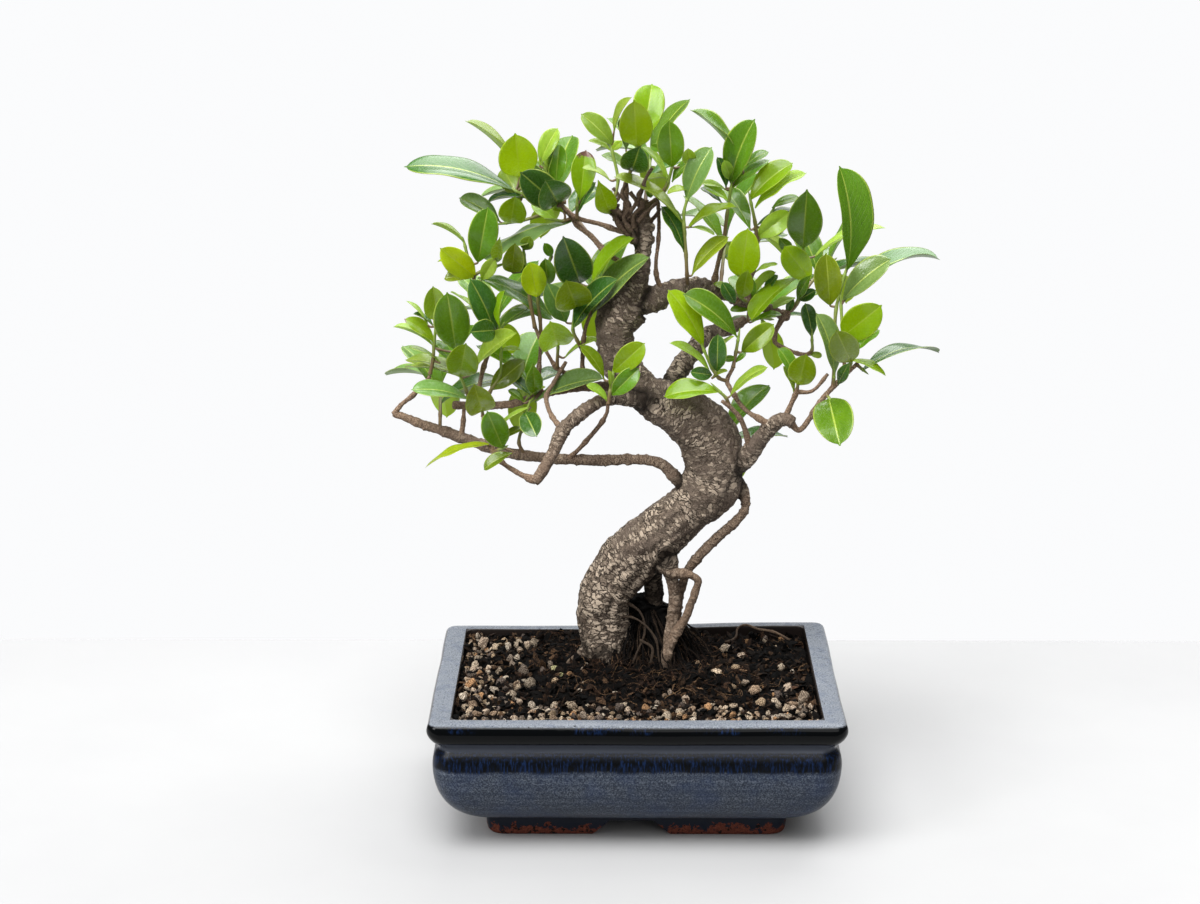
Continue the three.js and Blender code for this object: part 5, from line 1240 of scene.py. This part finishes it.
def smoothed(points, quads, times, share):
    """Points drawn towards the mean of their neighbours."""
    edges = np.concatenate([quads[:, [0, 1]], quads[:, [1, 2]], quads[:, [2, 3]], quads[:, [3, 0]]])
    count = np.bincount(edges[:, 0], minlength=len(points))[:, None]
    for _ in range(times):
        total = np.stack([np.bincount(edges[:, 0], values, len(points))
                          for values in points[edges[:, 1]].T], 1)
        points = points + (total / np.maximum(count, 1) - points) * share
    return points


def bark_relief(grain, radius):
    """How far bark stands out at a place, in millimetres: folds, ridges across the grain and warts."""
    thick = smoothstep(4, 12, radius)
    folds = turbulence(grain, (10, 10, 20), 2, 51) * 2.4
    rings = noise(grain, (7, 7, 1.5), 55) * 0.3 + noise(grain, (9, 9, 3.1), 56) * 0.35
    lumps = turbulence(grain, (4.5, 4.5, 6), 2, 57) * 0.5
    warts = np.clip(noise(grain, (3.2, 3.2, 2.2), 58), 0.2, 1) - 0.2
    nodes = np.abs(np.sin(grain[:, 2] / 7 + noise(grain, (60, 60, 20), 59) * 2)) ** 20
    slim = rings * 0.7 + lumps * 0.9 + warts * 1.2 + nodes * 0.5
    return thick * (folds + rings + lumps + warts * 0.9) + (1 - thick) * smoothstep(1, 3, radius) * slim


def knots(points):
    """Bulges and hollows of the trunk: how far a point moves and which way."""
    moved = np.zeros_like(points)
    for column, row, behind, wide, swell in KNOTS:
        away = points - seen(column, row, behind)
        far = np.linalg.norm(away, axis=1) / (wide * PIXEL)
        moved += unit(away + 1e-6) * (swell * PIXEL * np.exp(-far ** 2 * 1.6))[:, None]
    return moved


def one_skin(tubes):
    """The tubes joined into one body: its points in millimetres and its faces."""
    rough = Pile()
    for tube in tubes:
        sides = 32 if tube.radius.max() > 10 else 14
        rough.loft(tube_rings(tube.middle[::2], tube.radius[::2], sides))
    body = linked("wood", rough.mesh("wood"))
    remesh = body.modifiers.new("one_body", "REMESH")
    remesh.mode, remesh.voxel_size, remesh.adaptivity = "VOXEL", VOXEL * MM, 0
    apply_modifiers(body)
    points = np.empty(len(body.data.vertices) * 3)
    body.data.vertices.foreach_get("co", points)
    quads = np.empty(len(body.data.polygons) * 4, int)
    body.data.polygons.foreach_get("vertices", quads)
    bpy.data.objects.remove(body)
    return (points.reshape(-1, 3) - CENTRE) / MM, quads.reshape(-1, 4)


def main_wood(look):
    groups = ((TRUNK_ROWS, THINNEST["limb"]), (LIMB_ROWS, THINNEST["limb"]), (ROOT_ROWS, THINNEST["root"]))
    every = [(rows, thinnest) for kind, thinnest in groups for rows in kind]
    tubes = [Tube(rows, thinnest, number) for number, (rows, thinnest) in enumerate(every)]
    points, quads = one_skin(tubes)
    points = smoothed(points, quads, SMOOTH["times"], SMOOTH["share"])
    second, grain, radius, out = nearest_wood(points, tubes)
    gnarled = 1 + GNARLED["more"] * smoothstep(*GNARLED["heights"], points[:, 2])
    points = points + out * (bark_relief(grain, radius) * gnarled)[:, None] + knots(points)
    hollow = np.linalg.norm(points - seen(*HOLLOW), axis=1)
    # painted shade where one length of wood meets another and round the hollow fork
    crevice = np.maximum(1 - smoothstep(*CREVICE_SHADE["touching"], second),
                         CREVICE_SHADE["hollow_shade"] * (1 - smoothstep(*CREVICE_SHADE["hollow"], hollow)))
    pile = Pile(grain=(0.0, 0.0, 0.0), young=0.0, crevice=0.0)
    pile.add(points, quads, [], grain=grain, young=youth(radius), crevice=crevice)
    return pile.piece("trunk_and_limbs", [look], "bark", ["wood"])


def youth(radius):
    """From 1 on the slenderest twigs to 0 on thick wood."""
    return 1 - smoothstep(1.6, 5, radius)


def twigs(look):
    """The stubs, twigs and slender roots: for each kind its thinnest width in pixels and how much its bark
    is darkened, which is painted shade on the thin roots under the trunk.
    """
    pile = Pile(grain=(0.0, 0.0, 0.0), young=1.0, crevice=0.0)
    # the last number of each kind darkens its bark: painted shade on the thin roots under the trunk
    kinds = ((STUB_ROWS, THINNEST["twig"], 0.75), (TWIG_ROWS, THINNEST["twig"], 0.0),
             (THIN_ROOT_ROWS, THINNEST["thin_root"], 1.05), (SURFACE_ROOT_ROWS, THINNEST["thin_root"], 0.1))
    every = [(rows, thinnest, grime_and_shade) for kind, thinnest, grime_and_shade in kinds for rows in kind]
    sides = 12
    angles = round_angles(sides)
    for number, (rows, thinnest, grime_and_shade) in enumerate(every):
        tube = Tube(rows, thinnest, number + 60)
        place = (tube.place - tube.place[0])[:, None]
        node = np.abs(np.sin(place / 6.5 + number)) ** 16
        flat = np.column_stack([np.repeat(place, sides), np.tile(angles, len(place)),
                                np.full(sides * len(place), number)])
        lump = 0.93 + 0.32 * node + 0.2 * noise(flat, (1.6, 1.1, 1), 71).reshape(-1, sides)
        rings = tube_rings(tube.middle, tube.radius, sides, lump)
        radius, along, young = (np.broadcast_to(value[:, None], lump.shape)
                                for value in (tube.radius, tube.place, youth(tube.radius)))
        grain = np.stack([radius * np.cos(angles), radius * np.sin(angles), along], 2)
        pile.loft(rings, grain=grain, young=young, crevice=grime_and_shade)
    return pile.piece("twigs", [look], "bark")


def bark_look():
    """Grey-brown bark with pale, ragged lenticels, dark cracks between them, soil on its foot, and painted
    shade where wood meets wood and round the hollow fork.
    """
    look = Look("fig_bark", Roughness=0.7, Specular_IOR_Level=0.15)
    grain, place = look.attribute("grain", "Vector"), look.place()
    young, crevice = look.attribute("young"), look.attribute("crevice")
    old = 1 - young
    height = look.node("SeparateXYZ", {0: place}, output=2)
    low, high = height.ramp(165, 115), height.ramp(255, 300)
    bend = look.node("TexNoise", {"Vector": grain, "Scale": 0.3, "Detail": 3.0}, output=1)
    warped = look.node("VectorMath", {0: grain, 1: look.scaled(bend, 5.2, 5.2, 5.2)}, operation="ADD")
    fine = look.noise(look.scaled(grain, 1, 1, 1.8), 1.1, 5, 0.75)
    grit = look.noise(place, 2.4, 3, 0.8)
    patches = look.noise(look.scaled(grain, 1, 1, 0.7), 0.07, 3, 0.65)
    some = (patches + (low * 0.16 + high * 0.03)).ramp(0.46, 0.6)

    cells = {"Vector": look.scaled(warped, 0.75, 0.75, 2.0), "Scale": 0.27}
    spots, colour = (look.node("TexVoronoi", cells, output=i) for i in range(2))
    gaps = look.node("TexVoronoi", cells, feature="DISTANCE_TO_EDGE")
    cell = look.node("SeparateColor", {0: colour})
    limit = (cell * 0.55 + 0.1) * look.between(some, 0.8, 1.25)
    beyond = spots + (fine - 0.5) * 0.7 - limit
    pale = beyond.ramp(-0.04, 0.06, 1.0, 0.0) * look.between(some, 0.5, 0.95) * look.between(young, 1.0, 0.3)
    rim = beyond.ramp(0.0, 0.06) * beyond.ramp(0.1, 0.24, 1.0, 0.0) * old * cell.ramp(0.15, 0.4, 0.0, 0.75)
    crack = gaps.ramp(0.01, 0.1, 1.0, 0.0) * look.between(some, 0.15, 1.0) * old
    crack = crack * look.between(high, 1.0, 0.5)
    smudge = look.noise(place, 0.12, 4, 0.7).ramp(0.48, 0.68, 0.0, 0.5)
    legs = young * height.ramp(150, 125) * 0.5
    damp = (height + patches * 14).ramp(96, 84, 0.0, 0.85)

    bark = look.mix(patches.ramp(0.38, 0.62), rgb(112, 98, 87), rgb(148, 132, 115))
    bark = look.mix(fine.ramp(0.36, 0.58, 0.85, 0.0), bark, rgb(66, 56, 48))
    bark = look.mix(grit.ramp(0.55, 0.7, 0.0, 0.45), bark, rgb(192, 176, 156))
    coats = ((pale * 0.85, look.mix(grit, rgb(156, 138, 120), rgb(216, 199, 178))),
             (rim, rgb(62, 52, 44)),
             (crack * 0.85, rgb(46, 39, 33)),
             (smudge * old, rgb(84, 71, 61)),
             (young * 0.85, look.mix(fine.ramp(0.35, 0.68), rgb(84, 60, 48), rgb(172, 146, 120))),
             (legs, look.mix(fine, rgb(44, 34, 28), rgb(104, 86, 70))),
             # painted shade in crevices, round the hollow fork and on the darkened twigs and roots
             (crevice * 0.8, rgb(30, 24, 18)),
             (damp, rgb(36, 26, 19)))
    for share, coat in coats:
        bark = look.mix(share, bark, coat)
    look.shade(Base_Color=bark, Normal=look.bump(fine * 0.9 + pale * 0.6 - crack * 1.2, 0.0012, 1.0))
    return look.material


# ---- leaves ----
def nearest_on(chains, place):
    """The point nearest to a place on any of some chains of points."""
    best, least = None, 1e9
    for chain in chains:
        for a, b in zip(chain, chain[1:]):
            t = np.clip((place - a) @ (b - a) / ((b - a) @ (b - a)), 0, 1)
            point = a + (b - a) * t
            far = np.linalg.norm(point - place)
            if far < least:
                best, least = point, far
    return best


def leaf_plan(row, stems, bend):
    """Works out one leaf from how it is seen: its true length from its width, its tilt and its roll."""
    bc, br, tc, tr, wide, tone, lean, side, via = (*row, *(-1, 1, None)[len(row) - 6:])
    depths = [(np.linalg.norm(seen(bc, br, p[1] - TRUNK_PLANE_Y) - p), p[1] - TRUNK_PLANE_Y)
              for stem in stems for p in stem]
    root = nearest_on(stems, seen(bc, br, min(depths)[1]))
    behind = root[1] - TRUNK_PLANE_Y
    seen_length = math.hypot(tc - bc, tr - br) * PIXEL
    seen_width = wide * PIXEL
    length = max(seen_length, seen_width / WIDEST, 0 if is_tiny(row) else SHORTEST)
    hidden = math.sqrt(max(0, length ** 2 - seen_length ** 2))
    base, tip = seen(bc, br, behind), seen(tc, tr, behind + lean * hidden + bend)
    width = max(seen_width, WIDTH_OF_LENGTH * length)
    roll = math.acos(min(1, seen_width / width))
    along = unit(tip - base)
    to_eye = unit(EYE - base)
    face = unit(to_eye - along * (to_eye @ along))
    sideways = np.cross(along, face)
    face = (face * math.cos(roll) + sideways * (np.sign(sideways[2]) or 1) * math.sin(roll)) * side
    if via:
        middle = seen(*via, behind + (lean * hidden + bend) / 2)
    else:
        middle = (base + tip) / 2 + face * BOW * length * side
    return {"root": root, "base": base, "control": 2 * middle - base / 2 - tip / 2, "tip": tip,
            "face": face, "width": width, "tone": tone}


def is_tiny(row):
    """Whether a leaf is a bud or a narrow new leaf, which no solid stands for."""
    seen_length, wide = math.hypot(row[2] - row[0], row[3] - row[1]), row[4]
    return any(seen_length < longest and wide < widest for longest, widest in TINY)


def midrib(plan, t):
    """Points and directions along the midrib, a quadratic curve."""
    t = np.asarray(t, float)[:, None]
    a, b, c = plan["base"], plan["control"], plan["tip"]
    return arc_points(a, b, c, t), unit((1 - t) * (b - a) + t * (c - b))


def fitting_plan(plan_for, solid):
    """The bend whose blade lies where the shoot's solid has it."""
    best, least = None, 1e9
    for bend in BEND_STEPS:
        plan = plan_for(bend)
        spots, _ = midrib(plan, (0.35, 0.6, 0.85, 1))
        far = sum(solid.find_nearest(Vector(p * MM + CENTRE))[3] for p in spots)
        if far < least - 1e-4:
            best, least = plan, far
    return best


def add_leaf(pile, plan, random):
    """One leaf: a closed blade with a groove along its midrib, a folded and waved margin, and a stalk."""
    length = np.linalg.norm(plan["tip"] - plan["base"])
    stalk = np.linalg.norm(plan["base"] - plan["root"])
    slender = smoothstep(0.42, 0.3, plan["width"] / length)
    t = 0.5 - 0.5 * np.cos(np.linspace(0, math.pi, BLADE["steps"]))
    middle, along = midrib(plan, t)
    across = unit(np.cross(along, plan["face"]))
    up = np.cross(across, along)
    twist = (np.radians(random.uniform(*BLADE["twist"])) * (t - 0.3))[:, None]
    across, up = across * np.cos(twist) + up * np.sin(twist), up * np.cos(twist) - across * np.sin(twist)
    widest = random.uniform(*BLADE["widest"]) - 0.25 * slender
    full = random.uniform(*BLADE["full"]) + 0.4 * slender
    outline = np.sin(math.pi * np.clip(t / 0.97, 1e-4, 1 - 1e-4) ** widest) ** full
    outline = outline * (1 - 0.3 * (1 - slender) * smoothstep(0.3, 0.0, t))
    nub = 0.13 * np.sqrt(np.clip(1 - t, 0, 1) / 0.06) * (t > 0.9)
    half = plan["width"] / 2 * np.maximum(outline, nub)
    half = np.maximum(half, 0.2 + 0.4 * smoothstep(0.3, 0, t))[:, None]
    fold, curl, wave, phase, turns = (random.uniform(*BLADE[name])
                                      for name in ("fold", "curl", "wave", "phase", "turns"))
    u = ACROSS[None]
    rise = fold * np.abs(u) ** 1.25 - curl * u ** 4
    rise = rise + wave * np.sin(t[:, None] * turns * 2 * math.pi + phase + u * 1.5) * u ** 2
    centre = middle[:, None] + across[:, None] * (u * half)[:, :, None]
    lift = rise * half
    thick = BLADE["thick"] * (1 - 0.62 * np.abs(u) ** 2) * smoothstep(1.02, 0.8, t)[:, None] ** 0.5
    rib = np.exp(-(u * half / 0.55) ** 2) * smoothstep(1.0, 0.5, t)[:, None]
    upper, lower = (centre + up[:, None] * level[:, :, None]
                    for level in (lift + thick / 2 - 0.16 * rib, lift - thick / 2 - 0.42 * rib))
    rings = np.concatenate([upper, lower[:, -2:0:-1]], 1)
    back = ACROSS[-2:0:-1]
    spread, below = (np.broadcast_to(np.concatenate(both), rings.shape[:2])
                     for both in ((ACROSS, back), (ACROSS * 0, back * 0 + 1)))
    hue, through, glow = TONES[plan["tone"]]
    shift = random.uniform(*BLADE["shade"])
    hue = np.array(rgb(*hue)) * shift * random.uniform(*BLADE["tint"], 3)
    pile.loft(rings, 0, across=spread, along=np.broadcast_to(t[:, None], rings.shape[:2]), under=below,
              hue=hue, glow=glow, through=np.array(rgb(*through)) * shift, dry=plan.get("dry", NEVER_DRY),
              seed=random.uniform(0, 50))
    if stalk > STALK["shortest"]:
        leave = plan["base"] - along[0] * stalk * STALK["straight"]
        path = arc_points(plan["root"], leave, plan["base"], np.linspace(0, 1, STALK["steps"])[:, None])
        radii = np.linspace(*STALK["radii"], STALK["steps"])
        pile.loft(tube_rings(path, radii, STALK["sides"]), 1, hue=hue, along=0.0)


def add_stem(pile, path, random):
    """A green stem with a node at each place, and a long pointed bud at its end."""
    onward = unit(path[-1] - path[-2])
    points, where = curve_points(np.array(path), STEM["steps"] * (len(path) - 1))
    node = np.exp(-((where - np.round(where)) * 7) ** 2)
    radii = STEM["radius"] - STEM["taper"] * (where / where[-1]) + STEM["node"] * node
    bud = random.uniform(*STEM["bud"])
    s = np.linspace(0.05, 1, 9)
    points = np.concatenate([points, points[-1] + onward * (s * bud)[:, None]])
    radii = np.concatenate([radii, STEM["bud_radius"] * (1 - s) ** 0.7 + STEM["bud_tip"]])
    ages = np.linspace(0, 1, len(points))[:, None]
    pile.loft(tube_rings(points, radii, STEM["sides"]), 1, along=np.repeat(ages, STEM["sides"], 1))


def start_shoot(name):
    """An empty pile for a shoot, and the solid that it stands in for."""
    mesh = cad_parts["shoot_" + name].data
    solid = BVHTree.FromPolygons([v.co for v in mesh.vertices], [tuple(p.vertices) for p in mesh.polygons])
    return Pile(across=0.0, along=0.0, under=0.0, hue=(0.1, 0.2, 0.03), glow=0.3, through=(0.2, 0.4, 0.02),
                dry=NEVER_DRY, seed=0.0), solid


def end_shoot(pile, name, looks):
    return pile.piece("foliage_" + name, looks, "leaf", ["shoot_" + name])


def shoot(name, stems, leaves, looks, random):
    pile, solid = start_shoot(name)
    paths = [[seen(*spot) for spot in stem] for stem in stems]
    for path in paths:
        add_stem(pile, path, random)
    for row in leaves:
        plan = leaf_plan(row, paths, 0) if is_tiny(row) \
            else fitting_plan(lambda bend: leaf_plan(row, paths, bend), solid)
        plan["dry"] = DRY_FROM.get(row[2:4], NEVER_DRY)
        add_leaf(pile, plan, random)
    return end_shoot(pile, name, looks)


def rear_shoot(name, row, looks, random):
    """A shoot that reaches away from its root, with leaves set round it by a fixed turn."""
    pile, solid = start_shoot(name)
    root = seen(*row[:3])
    right, up, back = row[3:]
    end = root + (right, back, up)
    spine = {"base": root, "control": (root + end) / 2 + (0, 0, REAR_LEAVES["arch"]), "tip": end}
    add_stem(pile, list(midrib(spine, np.linspace(0, 1, 5))[0]), random)
    for i in range(REAR_LEAVES["count"]):
        t = REAR_LEAVES["first_at"] + (1 - REAR_LEAVES["first_at"]) * i / (REAR_LEAVES["count"] - 1)
        base, forward = (v[0] for v in midrib(spine, [t]))
        angle = math.radians(REAR_LEAVES["turn"] * i)
        flat = unit(np.cross(forward, (0, 0, 1)))
        outward = flat * math.cos(angle) + np.cross(flat, forward) * math.sin(angle)
        onward = unit(forward * REAR_LEAVES["onward"] + outward * REAR_LEAVES["spread"])
        length = REAR_LEAVES["length"] - REAR_LEAVES["shorter"] * (i % 3)

        def plan_for(bend):
            heading = unit(onward + (0, bend / length, 0))
            tip = base + heading * length
            face = unit(np.array([0, 0, 1]) - heading * heading[2])
            control = (base + tip) / 2 + face * 2 * BOW * length
            return {"root": base, "base": base, "control": control, "tip": tip, "face": face,
                    "width": WIDTH_OF_LENGTH * length, "tone": REAR_LEAVES["tones"][i]}
        add_leaf(pile, fitting_plan(plan_for, solid), random)
    return end_shoot(pile, name, looks)


def leaf_look():
    """A leathery leaf: glossy above with sunken veins, dull beneath, pale along its midrib and its edge."""
    look = Look("fig_leaf", IOR=1.45, Coat_Weight=0.5, Coat_Roughness=0.13)
    hue, through = look.attribute("hue", "Color"), look.attribute("through", "Color")
    across, along, under, glow, seed, dry_from = (
        look.attribute(name) for name in ("across", "along", "under", "glow", "seed", "dry"))
    side = abs(across)
    blotch = look.noise(look.node("CombineXYZ", {"X": across, "Y": along, "Z": seed}), 2.2, 3, 0.6)
    dapple = look.noise(look.place(), 0.55, 4, 0.7)
    line = along * 12 - side * 5 + blotch * 0.8
    vein = abs(look.math("SINE", line * math.pi)).ramp(0.03, 0.3, 1.0, 0.0)
    rib = side.ramp(0.015, 0.075, 1.0, 0.0)
    edge = side.ramp(0.9, 0.96)
    dry = (along + (dapple - 0.5) * 0.35 - dry_from).ramp(0.0, 0.03)

    base = look.mix(blotch.ramp(0.3, 0.7), look.tinted(hue, (0.7, 0.78, 0.7)), hue)
    base = look.mix(dapple.ramp(0.4, 0.65, 0.18, 0.0), base, look.tinted(base, (0.5, 0.6, 0.5)))
    pale = look.mix(0.65, hue, rgb(208, 220, 100))
    base = look.mix(vein * 0.13, base, pale)
    base = look.mix(look.math("MAXIMUM", rib, edge) * 0.8, base, pale)
    base = look.mix(under, base, look.mix(0.4, base, rgb(136, 160, 88)))
    base = look.mix(dry, base, look.mix(dapple, rgb(52, 30, 24), rgb(132, 88, 70)))
    gloss = look.between(under, dapple.ramp(0.3, 0.7, 0.16, 0.36), 0.55)
    look.shade(Base_Color=base, Roughness=look.between(dry, gloss, 0.8),
               Normal=look.bump(blotch + dapple * 0.5 - vein * 0.45, 0.0007, 0.5))
    lit = look.mix(vein * 0.3, through, look.mix(0.6, through, (0.05, 0.1, 0.0)))
    clear = look.node("BsdfTranslucent", {"Color": look.mix(rib * 0.5, lit, pale)})
    surface = Wire(look, look.shader.outputs[0])
    both = look.node("MixShader", {0: glow * (1 - dry), 1: surface, 2: clear})
    look.set(look.output, {"Surface": both})
    return look.material


def stem_look():
    look = Look("green_stem", Roughness=0.45)
    fine = look.noise(look.place(), 0.8, 3, 0.6)
    green = look.mix(fine, rgb(96, 122, 40), rgb(150, 170, 76))
    woody = look.mix(fine, rgb(84, 64, 44), rgb(128, 106, 72))
    look.shade(Base_Color=look.mix(look.attribute("along").ramp(0.15, 0.7), woody, green),
               Normal=look.bump(fine, 0.0003, 0.5))
    return look.material


def net_look():
    look = Look("plastic_net", Roughness=0.5)
    look.shade(Base_Color=look.mix(look.noise(look.place(), 0.8), rgb(24, 27, 30), rgb(40, 44, 48)))
    return look.material


# ---- the floor, the light and the camera ----
def floor_plane():
    look = Look("pale_floor", Roughness=0.6, Specular_IOR_Level=0.2)
    look.shade(Base_Color=look.mix(look.noise(look.place(), 0.004, 4, 0.6), rgb(152, 152, 153),
                                   rgb(162, 162, 162)))
    wide, near, far = FLOOR["wide"], FLOOR["near"], FLOOR["far"]
    points = np.array([[-wide, near, 0], [wide, near, 0], [wide, far, 0], [-wide, far, 0]], float)
    mesh = bare_mesh("floor", points, np.array([[0, 1, 2, 3]]), np.zeros((0, 3), int))
    mesh.materials.append(look.material)
    linked("floor", mesh)


def lamp(name, kind, place, aim, **settings):
    """A light at a place, in metres, which shines at its aim."""
    data = bpy.data.lights.new(name, kind)
    for key, value in settings.items():
        setattr(data, key, value)
    made = linked(name, data)
    made.location = place
    made.rotation_euler = (Vector(aim) - Vector(place)).to_track_quat("-Z", "Y").to_euler()


def studio():
    """Soft light, with a background that is bright only where the camera looks."""
    world = bpy.data.worlds.new("studio")
    bpy.context.scene.world = world
    world.use_nodes = True
    nodes, links = world.node_tree.nodes, world.node_tree.links
    back = nodes["Background"]
    direction = nodes.new("ShaderNodeTexCoord")
    aligned = nodes.new("ShaderNodeVectorMath")
    aligned.operation = "DOT_PRODUCT"
    aligned.inputs[1].default_value = AHEAD
    links.new(direction.outputs["Generated"], aligned.inputs[0])
    ramp = nodes.new("ShaderNodeMapRange")
    ramp.interpolation_type = "SMOOTHSTEP"
    for name, value in BACKGROUND.items():
        ramp.inputs[name].default_value = value
    links.new(aligned.outputs["Value"], ramp.inputs["Value"])
    links.new(ramp.outputs[0], back.inputs["Strength"])
    back.inputs["Color"].default_value = (0.985, 0.99, 1.0, 1)
    lamp("key", "SUN", KEY["from"], (0, 0, 0), angle=KEY["spread"], energy=KEY["strength"])
    for name, (place, size, power) in LAMPS.items():
        lamp(name, "AREA", place, LAMP_AIM, shape="SQUARE", size=size, energy=power)
    bpy.context.scene.view_settings.view_transform = "Standard"


def camera():
    data = bpy.data.cameras.new("camera")
    data.sensor_width, data.lens = SENSOR, FOCAL * SENSOR / IMAGE_WIDTH
    data.clip_start, data.clip_end = 0.01, 50
    made = linked("camera", data)
    made.location = EYE * MM + CENTRE
    made.rotation_euler = (math.pi / 2 - PITCH, 0, -YAW)
    bpy.context.scene.camera = made


# ---- the whole ----
camera()
floor_plane()
studio()
tray(glaze_look())
soil_bed(soil_look())
litter = litter_look("soil_litter", 0.95)
crumbs(litter)
pumice(litter_look("pumice", 0.9))
bark_chips(litter)
rootlets(litter)
root_mass(litter)
bark = bark_look()
main_wood(bark)
twigs(bark)
leaf_looks = [leaf_look(), stem_look()]
leaf_random = np.random.default_rng(11)
for shoot_name, shoot_stems, shoot_leaves in SHOOTS:
    shoot(shoot_name, shoot_stems, shoot_leaves, leaf_looks, leaf_random)
for shoot_name, shoot_row in REAR_SHOOTS.items():
    rear_shoot(shoot_name, shoot_row, leaf_looks, leaf_random)
net = net_look()
for node in ("drain_mesh_left", "drain_mesh_right"):
    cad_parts[node].data.materials.clear()
    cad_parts[node].data.materials.append(net)
